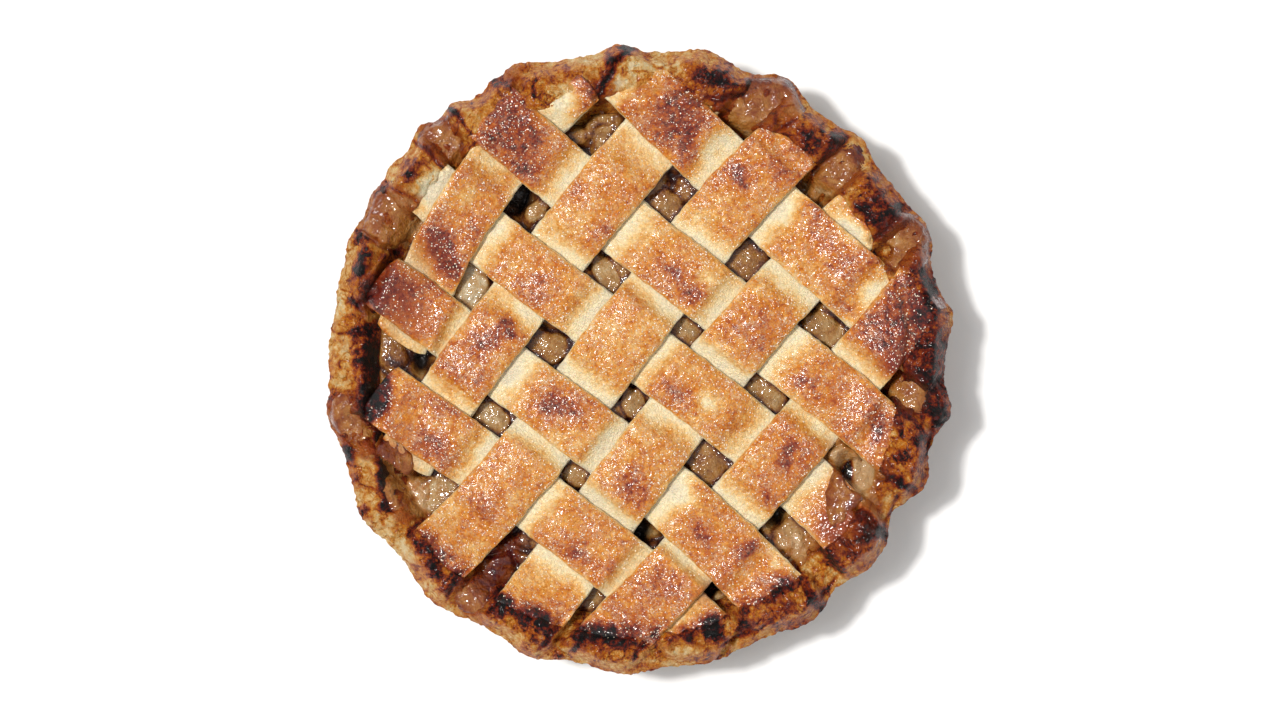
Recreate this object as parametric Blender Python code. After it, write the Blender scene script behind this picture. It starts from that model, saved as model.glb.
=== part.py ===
# Lattice-topped fruit pie baked in a round glass dish.
# The origin is the centre of the flat underside of the dish, +Z is up.
# Sizes are millimetres here and are turned into metres where meshes are made.

import math

import bpy

MM = 0.001

# Dish
DISH_HEIGHT = 38.0
DISH_BASE_RADIUS = 86.0
DISH_RIM_RADIUS = 119.0
DISH_MOUTH_RADIUS = 109.4
DISH_FLOOR = 4.5
DISH_STEPS = 64

# Bottom crust and rim
CRUST_GAP = 0.3
CRUST_STEPS = 144
CRUST_FLOOR_TOP = 9.0
CRUST_FLOOR_RADIUS = 80.0
RIM_INNER_RADIUS = 103.0
RIM_INNER_HEIGHT = 38.2
RIM_CREST_RADIUS = 112.5
RIM_CREST_HEIGHT = 45.0
RIM_LIP_HEIGHT = 40.2
RIM_LIP_THICKNESS = 2.4
RIM_OUTLINE_MEAN = 122.4
RIM_OUTLINE_SWING = 2.6
RIM_OUTLINE_TURN = 50.0

# Each lobe of the rim outline: angle in degrees, half width in degrees, reach in millimetres
RIM_LOBES = (
    (1.0, 4.0, 0.8),
    (8.5, 4.6, 5.6),
    (24.5, 5.6, 5.8),
    (34.0, 3.0, 1.2),
    (44.0, 4.2, 3.8),
    (61.5, 4.0, 5.4),
    (76.5, 5.0, 4.0),
    (92.0, 3.4, 3.4),
    (111.0, 4.4, 4.8),
    (116.4, 1.2, 1.8),
    (125.0, 2.6, 3.2),
    (132.0, 3.0, 4.0),
    (140.5, 2.6, 2.0),
    (146.5, 2.4, 1.8),
    (156.0, 2.8, 1.4),
    (170.0, 7.0, -1.0),
    (190.0, 3.6, 2.8),
    (209.5, 5.0, 4.0),
    (230.5, 6.0, 4.0),
    (251.0, 4.6, 3.9),
    (269.0, 6.4, 3.6),
    (284.0, 6.0, 2.2),
    (304.5, 5.0, 3.4),
    (312.5, 2.4, -1.6),
    (321.0, 5.0, 3.2),
    (330.0, 3.0, -3.4),
    (338.0, 3.6, 3.8),
    (351.8, 3.8, 5.6),
)

# Each hollow or lump of the rim top: angle in degrees, radius, half length along
# the rim, half width across it and height, in millimetres
RIM_FORMS = (
    (24.5, 114.0, 9.0, 10.0, -3.0),
    (43.0, 113.0, 7.0, 9.0, -2.4),
    (63.5, 114.0, 11.0, 9.0, -2.2),
    (130.5, 113.0, 7.0, 9.0, -3.0),
    (148.0, 112.0, 9.0, 9.0, -2.0),
    (160.5, 113.0, 10.0, 5.0, 3.2),
    (181.0, 106.5, 15.0, 5.0, 4.4),
    (192.0, 113.0, 9.0, 8.0, -2.6),
    (203.5, 108.5, 12.0, 4.2, 3.4),
    (235.5, 112.0, 7.0, 9.0, -2.4),
    (256.0, 112.0, 5.5, 9.0, -2.4),
    (311.5, 112.0, 6.5, 9.0, -3.2),
    (329.8, 112.0, 6.5, 9.0, -3.2),
    (352.5, 110.0, 8.0, 7.0, -2.6),
)

# Lattice strips
STRIP_THICKNESS = 3.4
STRIP_GAP = 0.5
STRIP_RIM_GAP = 0.8
STRIP_STEP = 6.6
STRIP_EDGE_DROP = 0.5
STRIP_PUFF = 1.0
STRIP_END_DROP = 1.2
STRIP_RIM_INSET = 3.2
STRIP_SIDE_GAP = 0.8
PLATEAU_MARGIN = 0.8
REST_RUN = 11.0
LATTICE_CENTRE_HEIGHT = 46.6
LATTICE_FALL = 3.5
LATTICE_FALL_RADIUS = 95.0
LATTICE_RISE_START = 84.0
LATTICE_RISE_END = 112.0
LATTICE_RIM_FALL = 0.012

# Each strip: direction in degrees, sideways offset from the centre, middle along
# its own direction, bow, sway, width, taper, start and end along its direction
STRIPS_A = {
    1: (-42.6, 82.7, -10.3, 2.75, 0.8, 26.5, 1.8, -90.0, 90.0),
    2: (-38.5, 41.4, -8.8, 1.0, -1.7, 24.8, -0.4, -124.0, 122.0),
    3: (-35.9, 6.4, -1.4, -2.1, -5.0, 24.1, 1.0, -124.0, 122.0),
    4: (-37.4, -32.1, 4.1, -4.4, -2.6, 24.7, 2.6, -101.0, 118.0),
    5: (-35.4, -66.8, -8.5, -3.0, -3.5, 24.9, 1.6, -77.0, 92.0),
}
STRIPS_B = {
    1: (56.6, 88.7, 21.1, -18.3, -3.5, 23.8, 2.0, -44.0, 94.0),
    2: (51.6, 50.9, 10.4, -3.6, 0.6, 25.1, 1.6, -87.0, 120.0),
    3: (52.4, 9.0, 1.0, -0.2, -4.2, 26.6, 0.0, -121.0, 126.0),
    4: (51.6, -27.7, 7.0, -5.2, -3.1, 26.1, -1.5, -118.0, 122.0),
    5: (48.7, -69.7, 3.4, 3.0, -1.0, 24.7, -0.6, -100.0, 108.0),
}
STRIP_TOP_ACROSS = (-1.0, -0.55, 0.0, 0.55, 1.0)
STRIP_BOTTOM_ACROSS = (1.0, 0.55, 0.0, -0.55, -1.0)

# Filling
FILLING_STEPS = 60
FILLING_RADIUS = 100.4
FILLING_EDGE_HEIGHT = 35.7
FILLING_DROP = 0.4
FILLING_RELIEF = 2.4
FILLING_CHUNK = 23.0
FILLING_RINGS = (96.0, 84.0, 71.0, 57.0, 42.0, 27.0, 12.0)


def smooth_step(value):
    """Ease a value from 0 to 1."""
    value = min(max(value, 0.0), 1.0)
    return value * value * (3.0 - 2.0 * value)


def turn_between(first, second):
    """Signed difference of two angles in degrees, from -180 to 180."""
    return (first - second + 180.0) % 360.0 - 180.0


def rim_outline(angle):
    """Outer radius of the crust at an angle in degrees."""
    swing = math.cos(math.radians(angle - RIM_OUTLINE_TURN))
    radius = RIM_OUTLINE_MEAN + RIM_OUTLINE_SWING * swing
    for lobe_angle, half_width, reach in RIM_LOBES:
        away = turn_between(angle, lobe_angle) / half_width
        radius += reach * math.exp(-away * away)
    return max(radius, DISH_RIM_RADIUS + 0.5)


def rim_relief(angle, radius):
    """Height that hollows and lumps add to the rim top."""
    height = 0.0
    for form_angle, form_radius, along, across, amount in RIM_FORMS:
        along_away = math.radians(turn_between(angle, form_angle)) * form_radius / along
        across_away = (radius - form_radius) / across
        squared = along_away * along_away + across_away * across_away
        if squared < 9.0:
            height += amount * math.exp(-squared)
    return height


def rim_top(angle, radius):
    """Height of the top of the crust rim."""
    if radius <= RIM_CREST_RADIUS:
        part = (radius - RIM_INNER_RADIUS) / (RIM_CREST_RADIUS - RIM_INNER_RADIUS)
        if part < 0.0:
            return RIM_INNER_HEIGHT + part * 12.0
        rise = RIM_CREST_HEIGHT - RIM_INNER_HEIGHT
        fade = smooth_step(part * 2.0)
        base = RIM_INNER_HEIGHT + rise * math.sin(part * math.pi / 2.0)
        return base + rim_relief(angle, radius) * fade
    outline = rim_outline(angle)
    part = min((radius - RIM_CREST_RADIUS) / (outline - RIM_CREST_RADIUS), 1.0)
    base = RIM_CREST_HEIGHT - (RIM_CREST_HEIGHT - RIM_LIP_HEIGHT) * part ** 1.8
    return base + rim_relief(angle, radius) * (1.0 - part * part)


def dome_height(radius):
    """Middle level of a lattice that only lies on the filling."""
    return LATTICE_CENTRE_HEIGHT - LATTICE_FALL * (radius / LATTICE_FALL_RADIUS) ** 2


def lattice_middle(x, y):
    """Middle level of the lattice, which climbs softly on to the rim."""
    radius = math.hypot(x, y)
    crest = RIM_CREST_HEIGHT + STRIP_RIM_GAP + STRIP_THICKNESS + 0.5 * STRIP_GAP
    if radius > LATTICE_RISE_END:
        return crest - LATTICE_RIM_FALL * (radius - LATTICE_RISE_END) ** 2
    run = LATTICE_RISE_END - LATTICE_RISE_START
    rise = crest - dome_height(LATTICE_RISE_END)
    return dome_height(radius) + rise * smooth_step((radius - LATTICE_RISE_START) / run)


def strip_axes(strip):
    """Unit direction and unit sideways direction of a strip."""
    turn = math.radians(strip[0])
    return (math.cos(turn), math.sin(turn)), (-math.sin(turn), math.cos(turn))


def strip_centre(strip, along):
    """Sideways place of the strip's centre line."""
    part = (along - strip[2]) / 100.0
    return strip[1] + strip[3] * part ** 2 + strip[4] * part ** 3


def strip_half_width(strip, along):
    """Half the strip's width."""
    return 0.5 * (strip[5] + strip[6] * (along - strip[2]) / 100.0)


def strip_place(strip, along, across):
    """Plan position on a strip; across runs from -1 to 1."""
    forward, side = strip_axes(strip)
    sideways = strip_centre(strip, along) + across * strip_half_width(strip, along)
    x = along * forward[0] + sideways * side[0]
    y = along * forward[1] + sideways * side[1]
    return x, y


def beside_strip(strip, x, y):
    """Distance outside a strip's side and the signed sideways distance, or None."""
    forward, side = strip_axes(strip)
    along = x * forward[0] + y * forward[1]
    if along < strip[7] - 4.0 or along > strip[8] + 4.0:
        return None
    sideways = x * side[0] + y * side[1] - strip_centre(strip, along)
    return abs(sideways) - strip_half_width(strip, along), sideways


def weave_level(own_index, others, own_is_a, x, y):
    """Level in the weave: 1 passes over, -1 passes under or rests on the rim."""
    before = None
    after = None
    for index, other in others.items():
        found = beside_strip(other, x, y)
        if found is None:
            continue
        edge = found[0] - PLATEAU_MARGIN
        odd = (own_index + index) % 2 == 1
        over = odd if own_is_a else not odd
        level = 1.0 if over else -1.0
        if edge <= 0.0:
            return level
        if found[1] > 0.0:
            if before is None or edge < before[0]:
                before = (edge, level)
        elif after is None or edge < after[0]:
            after = (edge, level)
    if before is None and after is None:
        return -1.0
    if before is None or after is None:
        edge, level = before if after is None else after
        return level + (-1.0 - level) * smooth_step(edge / REST_RUN)
    share = before[0] / (before[0] + after[0])
    return before[1] + (after[1] - before[1]) * smooth_step(share)


def strip_limit(strip, across, sign, stop):
    """Place along a strip where it ends, reaches its inset or meets another strip."""
    near = strip[2]
    far = strip[8] if sign > 0 else strip[7]
    for _ in range(26):
        middle = 0.5 * (near + far)
        x, y = strip_place(strip, middle, across)
        angle = math.degrees(math.atan2(y, x))
        blocked = math.hypot(x, y) > rim_outline(angle) - STRIP_RIM_INSET
        if stop is not None:
            found = beside_strip(stop, x, y)
            blocked = blocked or (found is not None and found[0] < STRIP_SIDE_GAP)
        if blocked:
            far = middle
        else:
            near = middle
    return near


def strip_crossings(strip, others, across, low, high):
    """Places along a strip where it enters and leaves the plateau of each crossing."""
    places = []
    for index, other in others.items():
        pair = []
        for sign in (-1.0, 1.0):
            left = low - 40.0
            right = high + 40.0
            for _ in range(30):
                middle = 0.5 * (left + right)
                x, y = strip_place(strip, middle, across)
                forward, side = strip_axes(other)
                along = x * forward[0] + y * forward[1]
                sideways = x * side[0] + y * side[1] - strip_centre(other, along)
                reach = strip_half_width(other, along) + PLATEAU_MARGIN
                turned = side[0] * strip_axes(strip)[0][0] + side[1] * strip_axes(strip)[0][1]
                if (sideways if turned > 0.0 else -sideways) > sign * reach:
                    right = middle
                else:
                    left = middle
            pair.append(0.5 * (left + right))
        places.append((index, pair[0], pair[1]))
    return sorted(places, key=lambda item: item[1])


def make_object(name, vertices, faces, colour, roughness, smooth, glass=False):
    """Make one closed mesh object in metres."""
    mesh = bpy.data.meshes.new(name)
    scaled = [(x * MM, y * MM, z * MM) for x, y, z in vertices]
    mesh.from_pydata(scaled, [], faces)
    mesh.validate()
    mesh.update()
    for polygon in mesh.polygons:
        polygon.use_smooth = smooth
    item = bpy.data.objects.new(name, mesh)
    bpy.context.scene.collection.objects.link(item)
    material = bpy.data.materials.new(name + "_material")
    material.use_nodes = True
    shader = material.node_tree.nodes.get("Principled BSDF")
    shader.inputs["Base Color"].default_value = (colour[0], colour[1], colour[2], 1.0)
    shader.inputs["Roughness"].default_value = roughness
    if glass:
        shader.inputs["Transmission Weight"].default_value = 1.0
        shader.inputs["IOR"].default_value = 1.47
    material.diffuse_color = (colour[0], colour[1], colour[2], 1.0)
    mesh.materials.append(material)
    return item


def rings_to_mesh(rings, first_pole, last_pole):
    """Join rings of equal length and two poles into one closed skin."""
    vertices = [first_pole]
    for ring in rings:
        vertices.extend(ring)
    vertices.append(last_pole)
    last = len(vertices) - 1
    count = len(rings[0])
    faces = []
    for step in range(count):
        following = (step + 1) % count
        faces.append((0, 1 + following, 1 + step))
        start = 1 + (len(rings) - 1) * count
        faces.append((last, start + step, start + following))
    for level in range(len(rings) - 1):
        low = 1 + level * count
        high = low + count
        for step in range(count):
            following = (step + 1) % count
            faces.append((low + step, low + following, high + following))
            faces.append((low + step, high + following, high + step))
    return vertices, faces


def round_ring(radius, height, steps):
    """Level circle of points."""
    ring = []
    for step in range(steps):
        angle = 2.0 * math.pi * step / steps
        ring.append((radius * math.cos(angle), radius * math.sin(angle), height))
    return ring


def build_dish():
    """Glass dish with a sloping wall and a level rim."""
    wall_top = DISH_HEIGHT - 4.4
    profile = (
        (DISH_BASE_RADIUS - 2.5, 0.0),
        (DISH_BASE_RADIUS, 0.9),
        (DISH_BASE_RADIUS + 2.4, 3.6),
        (DISH_MOUTH_RADIUS + 0.4, wall_top - 2.0),
        (DISH_MOUTH_RADIUS + 2.4, wall_top),
        (DISH_RIM_RADIUS - 1.2, wall_top),
        (DISH_RIM_RADIUS, wall_top + 1.2),
        (DISH_RIM_RADIUS, DISH_HEIGHT - 1.2),
        (DISH_RIM_RADIUS - 1.2, DISH_HEIGHT),
        (DISH_MOUTH_RADIUS + 2.2, DISH_HEIGHT),
        (DISH_MOUTH_RADIUS, DISH_HEIGHT - 0.8),
        (DISH_MOUTH_RADIUS - 2.0, DISH_HEIGHT - 3.0),
        (DISH_BASE_RADIUS - 0.4, DISH_FLOOR + 2.2),
        (DISH_BASE_RADIUS - 3.0, DISH_FLOOR + 0.4),
        (DISH_BASE_RADIUS - 5.5, DISH_FLOOR),
    )
    rings = [round_ring(radius, height, DISH_STEPS) for radius, height in profile]
    vertices, faces = rings_to_mesh(rings, (0.0, 0.0, 0.0), (0.0, 0.0, DISH_FLOOR))
    return make_object("dish", vertices, faces, (0.86, 0.9, 0.89), 0.06, True, True)


def build_crust():
    """Bottom crust that lines the dish, with the fluted rim."""
    under = (
        (DISH_BASE_RADIUS - 6.0, DISH_FLOOR + CRUST_GAP),
        (DISH_BASE_RADIUS - 0.9, DISH_FLOOR + 2.4 + CRUST_GAP),
        (DISH_MOUTH_RADIUS - 2.35, DISH_HEIGHT - 2.8 + CRUST_GAP),
        (DISH_MOUTH_RADIUS - 0.2, DISH_HEIGHT - 0.5 + CRUST_GAP),
        (DISH_MOUTH_RADIUS + 2.1, DISH_HEIGHT + CRUST_GAP),
        (DISH_RIM_RADIUS + 0.1, DISH_HEIGHT + CRUST_GAP),
    )
    outer_parts = (0.9, 0.65, 0.34, 0.0)
    inner_parts = (0.7, 0.36, 0.0)
    rings = [round_ring(radius, height, CRUST_STEPS) for radius, height in under]
    lip_low = []
    lip_high = []
    for step in range(CRUST_STEPS):
        degrees = 360.0 * step / CRUST_STEPS
        angle = math.radians(degrees)
        outline = rim_outline(degrees)
        droop = min(max((outline - DISH_RIM_RADIUS - 1.6) * 0.45, 0.0), 4.0)
        low_radius = max(outline - 1.3, DISH_RIM_RADIUS + 0.35)
        low = RIM_LIP_HEIGHT - RIM_LIP_THICKNESS + 0.45 - droop
        lip_low.append((low_radius * math.cos(angle), low_radius * math.sin(angle), low))
        high = RIM_LIP_HEIGHT - 0.7 - 0.55 * droop
        lip_high.append((outline * math.cos(angle), outline * math.sin(angle), high))
    rings.append(lip_low)
    rings.append(lip_high)
    for part in outer_parts:
        ring = []
        for step in range(CRUST_STEPS):
            degrees = 360.0 * step / CRUST_STEPS
            angle = math.radians(degrees)
            outline = rim_outline(degrees)
            radius = RIM_CREST_RADIUS + part * (outline - RIM_CREST_RADIUS)
            height = rim_top(degrees, radius)
            ring.append((radius * math.cos(angle), radius * math.sin(angle), height))
        rings.append(ring)
    for part in inner_parts:
        ring = []
        radius = RIM_INNER_RADIUS + part * (RIM_CREST_RADIUS - RIM_INNER_RADIUS)
        for step in range(CRUST_STEPS):
            degrees = 360.0 * step / CRUST_STEPS
            angle = math.radians(degrees)
            height = rim_top(degrees, radius)
            ring.append((radius * math.cos(angle), radius * math.sin(angle), height))
        rings.append(ring)
    rings.append(round_ring(CRUST_FLOOR_RADIUS + 2.0, CRUST_FLOOR_TOP + 1.6, CRUST_STEPS))
    rings.append(round_ring(CRUST_FLOOR_RADIUS - 1.0, CRUST_FLOOR_TOP, CRUST_STEPS))
    bottom = (0.0, 0.0, DISH_FLOOR + CRUST_GAP)
    vertices, faces = rings_to_mesh(rings, bottom, (0.0, 0.0, CRUST_FLOOR_TOP))
    return make_object("crust", vertices, faces, (0.62, 0.33, 0.12), 0.65, True)


def filling_top(x, y):
    """Height of the fruit filling, with the tops of its pieces as soft mounds."""
    radius = math.hypot(x, y)
    ceiling = dome_height(radius) - STRIP_THICKNESS - 1.5 * STRIP_GAP - FILLING_DROP
    across = math.sin(x * math.tau / FILLING_CHUNK + 1.3 * math.sin(y / 17.0))
    down = math.sin(y * math.tau / (FILLING_CHUNK * 1.15) + 1.1 * math.sin(x / 21.0))
    calm = 1.0 - smooth_step((radius - 86.0) / 12.0)
    return ceiling - FILLING_RELIEF * calm * (0.5 - 0.25 * (across + down))


def build_filling():
    """Fruit filling that runs through the pie."""
    profile = (
        (CRUST_FLOOR_RADIUS - 1.4, CRUST_FLOOR_TOP + CRUST_GAP),
        (CRUST_FLOOR_RADIUS + 1.5, CRUST_FLOOR_TOP + 2.1),
        (FILLING_RADIUS, FILLING_EDGE_HEIGHT),
    )
    rings = [round_ring(radius, height, FILLING_STEPS) for radius, height in profile]
    for radius in FILLING_RINGS:
        ring = []
        for x, y, _ in round_ring(radius, 0.0, FILLING_STEPS):
            ring.append((x, y, filling_top(x, y)))
        rings.append(ring)
    bottom = (0.0, 0.0, CRUST_FLOOR_TOP + CRUST_GAP)
    vertices, faces = rings_to_mesh(rings, bottom, (0.0, 0.0, filling_top(0.0, 0.0)))
    return make_object("filling", vertices, faces, (0.42, 0.29, 0.16), 0.35, True)


def spread_places(breaks, counts):
    """Divide each stretch between two breaks into its own number of equal parts."""
    places = [breaks[0]]
    for start, end, count in zip(breaks[:-1], breaks[1:], counts):
        for step in range(1, count + 1):
            places.append(start + (end - start) * step / count)
    return places


def strip_stations(strip, others, stop_low, stop_high):
    """Places along the strip for each line across it, kept on the crossing edges."""
    middle_low = strip_limit(strip, 0.0, -1, stop_low)
    middle_high = strip_limit(strip, 0.0, 1, stop_high)
    crossings = strip_crossings(strip, others, 0.0, middle_low, middle_high)
    used = []
    for index, enter, leave in crossings:
        if enter > middle_low + 2.0 and leave < middle_high - 2.0:
            used.append(index)
    stations = {}
    counts = None
    for across in sorted(set(STRIP_TOP_ACROSS), key=abs):
        pulled = 1.6 * abs(across) ** 3
        low = strip_limit(strip, across, -1, stop_low) + pulled
        high = strip_limit(strip, across, 1, stop_high) - pulled
        breaks = [low]
        for index, enter, leave in strip_crossings(strip, others, across, low, high):
            if index in used:
                breaks.append(min(max(enter, breaks[-1] + 1.0), high - 3.0))
                breaks.append(min(max(leave, breaks[-1] + 1.0), high - 2.0))
        breaks.append(high)
        if counts is None:
            counts = []
            for start, end in zip(breaks[:-1], breaks[1:]):
                counts.append(max(int(round((end - start) / STRIP_STEP)), 1))
        stations[across] = spread_places(breaks, counts)
    return stations


def build_strip(name, index, strip, others, own_is_a, stop_low=None, stop_high=None):
    """One lattice strip woven over and under the strips that cross it."""
    stations = strip_stations(strip, others, stop_low, stop_high)
    steps = len(stations[0.0]) - 1
    vertices = []
    for step in range(steps + 1):
        middle = stations[0.0]
        from_end = min(middle[step] - middle[0], middle[-1] - middle[step])
        end_fall = STRIP_END_DROP * (1.0 - smooth_step(from_end / 7.0))
        for place, across in enumerate(STRIP_TOP_ACROSS + STRIP_BOTTOM_ACROSS):
            x, y = strip_place(strip, stations[across][step], across)
            level = weave_level(index, others, own_is_a, x, y)
            lift = 0.5 * level * (STRIP_THICKNESS + STRIP_GAP)
            under = lattice_middle(x, y) + lift - 0.5 * STRIP_THICKNESS
            if place >= len(STRIP_TOP_ACROSS):
                vertices.append((x, y, under))
                continue
            puff = STRIP_PUFF * smooth_step((level - 0.2) / 0.8) * (1.0 - across * across)
            edge = STRIP_EDGE_DROP * across ** 4
            vertices.append((x, y, under + STRIP_THICKNESS + puff - edge - end_fall))
    count = len(STRIP_TOP_ACROSS) + len(STRIP_BOTTOM_ACROSS)
    faces = []
    for step in range(steps):
        near = step * count
        far = near + count
        for place in range(count):
            following = (place + 1) % count
            faces.append((near + place, near + following, far + following))
            faces.append((near + place, far + following, far + place))
    faces.extend(strip_cap(0, count, True))
    faces.extend(strip_cap(steps * count, count, False))
    return make_object(name, vertices, faces, (0.8, 0.52, 0.24), 0.6, True)


def strip_cap(start, count, is_first):
    """Triangles that close one end of a strip."""
    faces = []
    half = count // 2
    for step in range(half - 1):
        top = start + step
        low = start + count - 1 - step
        corners = ((top, low, top + 1), (top + 1, low, low - 1))
        for first, second, third in corners:
            if is_first:
                faces.append((first, second, third))
            else:
                faces.append((first, third, second))
    return faces


def fix_normals(item):
    """Turn the skin so that it faces outward."""
    mesh = item.data
    volume = 0.0
    for polygon in mesh.polygons:
        corners = [mesh.vertices[index].co for index in polygon.vertices]
        volume += corners[0].dot(corners[1].cross(corners[2])) / 6.0
    if volume < 0.0:
        mesh.flip_normals()


def main():
    """Build every piece of the pie."""
    for item in list(bpy.data.objects):
        bpy.data.objects.remove(item, do_unlink=True)
    items = [build_dish(), build_crust(), build_filling()]
    for index, strip in STRIPS_A.items():
        name = "strip_a" + str(index)
        items.append(build_strip(name, index, strip, STRIPS_B, True))
    for index, strip in STRIPS_B.items():
        name = "strip_b" + str(index)
        stop = STRIPS_A[1] if index == 1 else None
        items.append(build_strip(name, index, strip, STRIPS_A, False, stop_high=stop))
    for item in items:
        fix_normals(item)


main()
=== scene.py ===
# Looks for the lattice-topped apple pie: detailed pastry, fruit, juice, sugar and glass.
# Sizes in the tables and the shape functions are millimetres and degrees, as in the part's
# own source. A place on the rim is an angle and a radius, a place in plan is x and y.

import math
from collections import namedtuple

import bpy
import numpy as np
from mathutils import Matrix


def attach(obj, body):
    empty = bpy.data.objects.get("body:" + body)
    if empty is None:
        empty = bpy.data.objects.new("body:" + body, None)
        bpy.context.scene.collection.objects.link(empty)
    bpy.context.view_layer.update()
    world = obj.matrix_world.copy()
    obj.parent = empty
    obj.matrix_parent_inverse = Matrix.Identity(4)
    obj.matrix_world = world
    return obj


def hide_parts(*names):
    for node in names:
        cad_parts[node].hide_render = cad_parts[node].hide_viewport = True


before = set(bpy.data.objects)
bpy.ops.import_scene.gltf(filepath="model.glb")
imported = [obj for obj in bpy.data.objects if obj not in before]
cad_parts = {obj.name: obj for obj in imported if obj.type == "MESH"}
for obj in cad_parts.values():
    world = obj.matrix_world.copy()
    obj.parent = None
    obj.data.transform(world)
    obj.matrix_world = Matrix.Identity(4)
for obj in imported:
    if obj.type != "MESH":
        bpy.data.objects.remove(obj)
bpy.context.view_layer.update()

MM = 0.001
TAU = 2.0 * math.pi

# Dish and crust sizes, the same values as in the part's source
DISH_HEIGHT = 38.0
DISH_BASE_RADIUS = 86.0
DISH_RIM_RADIUS = 119.0
DISH_MOUTH_RADIUS = 109.4
DISH_FLOOR = 4.5
CRUST_FLOOR_TOP = 9.0
CRUST_FLOOR_RADIUS = 80.0
RIM_INNER_RADIUS = 103.0
RIM_INNER_HEIGHT = 38.2
RIM_CREST_RADIUS = 112.5
RIM_CREST_HEIGHT = 45.0
RIM_LIP_HEIGHT = 40.2
RIM_OUTLINE_MEAN = 122.4
RIM_OUTLINE_SWING = 2.6
RIM_OUTLINE_TURN = 50.0

# Lobes of the crust's outline: angle, half width in degrees and reach
RIM_LOBES = (
    (1, 4, 0.8), (8.5, 4.6, 5.6), (24.5, 5.6, 5.8), (34, 3, 1.2), (44, 4.2, 3.8), (61.5, 4, 5.4),
    (76.5, 5, 4), (92, 3.4, 3.4), (111, 4.4, 4.8), (116.4, 1.2, 1.8), (125, 2.6, 3.2), (132, 3, 4),
    (140.5, 2.6, 2), (146.5, 2.4, 1.8), (156, 2.8, 1.4), (170, 7, -1), (190, 3.6, 2.8),
    (209.5, 5, 4), (230.5, 6, 4), (251, 4.6, 3.9), (269, 6.4, 3.6), (284, 6, 2.2), (304.5, 5, 3.4),
    (312.5, 2.4, -1.6), (321, 5, 3.2), (330, 3, -3.4), (338, 3.6, 3.8), (351.8, 3.8, 5.6),
)

# Lumps and hollows of the rim: angle, radius, half length, half width and height
RIM_FORMS = (
    (24.5, 114, 9, 10, -3), (43, 113, 7, 9, -2.4), (63.5, 114, 11, 9, -2.2), (130.5, 113, 7, 9, -3),
    (148, 112, 9, 9, -2), (160.5, 113, 10, 5, 3.2), (181, 106.5, 15, 5, 4.4),
    (192, 113, 9, 8, -2.6), (203.5, 108.5, 12, 4.2, 3.4), (235.5, 112, 7, 9, -2.4),
    (256, 112, 5.5, 9, -2.4), (311.5, 112, 6.5, 9, -3.2), (329.8, 112, 6.5, 9, -3.2),
    (352.5, 110, 8, 7, -2.6),
)

# Lattice sizes, the same values as in the part's source
STRIP_THICKNESS = 3.4
STRIP_GAP = 0.5
STRIP_RIM_GAP = 0.8
PLATEAU_MARGIN = 0.8
REST_RUN = 11.0
LATTICE_CENTRE_HEIGHT = 46.6
LATTICE_FALL = 3.5
LATTICE_FALL_RADIUS = 95.0
LATTICE_RISE_START = 84.0
LATTICE_RISE_END = 112.0
LATTICE_RIM_FALL = 0.012

# A strip: direction, sideways place of its centre line, the place along it where that is
# measured, bend and twist of the line, width, widening for each 100 mm, and its two ends
Strip = namedtuple("Strip", "turn offset middle bend twist width widening low_end high_end")
STRIPS_A = {
    1: Strip(-42.6, 82.7, -10.3, 2.75, 0.8, 26.5, 1.8, -90.0, 90.0),
    2: Strip(-38.5, 41.4, -8.8, 1.0, -1.7, 24.8, -0.4, -124.0, 122.0),
    3: Strip(-35.9, 6.4, -1.4, -2.1, -5.0, 24.1, 1.0, -124.0, 122.0),
    4: Strip(-37.4, -32.1, 4.1, -4.4, -2.6, 24.7, 2.6, -101.0, 118.0),
    5: Strip(-35.4, -66.8, -8.5, -3.0, -3.5, 24.9, 1.6, -77.0, 92.0),
}
STRIPS_B = {
    1: Strip(56.6, 88.7, 21.1, -18.3, -3.5, 23.8, 2.0, -44.0, 94.0),
    2: Strip(51.6, 50.9, 10.4, -3.6, 0.6, 25.1, 1.6, -87.0, 120.0),
    3: Strip(52.4, 9.0, 1.0, -0.2, -4.2, 26.6, 0.0, -121.0, 126.0),
    4: Strip(51.6, -27.7, 7.0, -5.2, -3.1, 26.1, -1.5, -118.0, 122.0),
    5: Strip(48.7, -69.7, 3.4, 3.0, -1.0, 24.7, -0.6, -100.0, 108.0),
}
ALL_STRIPS = (*STRIPS_A.values(), *STRIPS_B.values())

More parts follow.
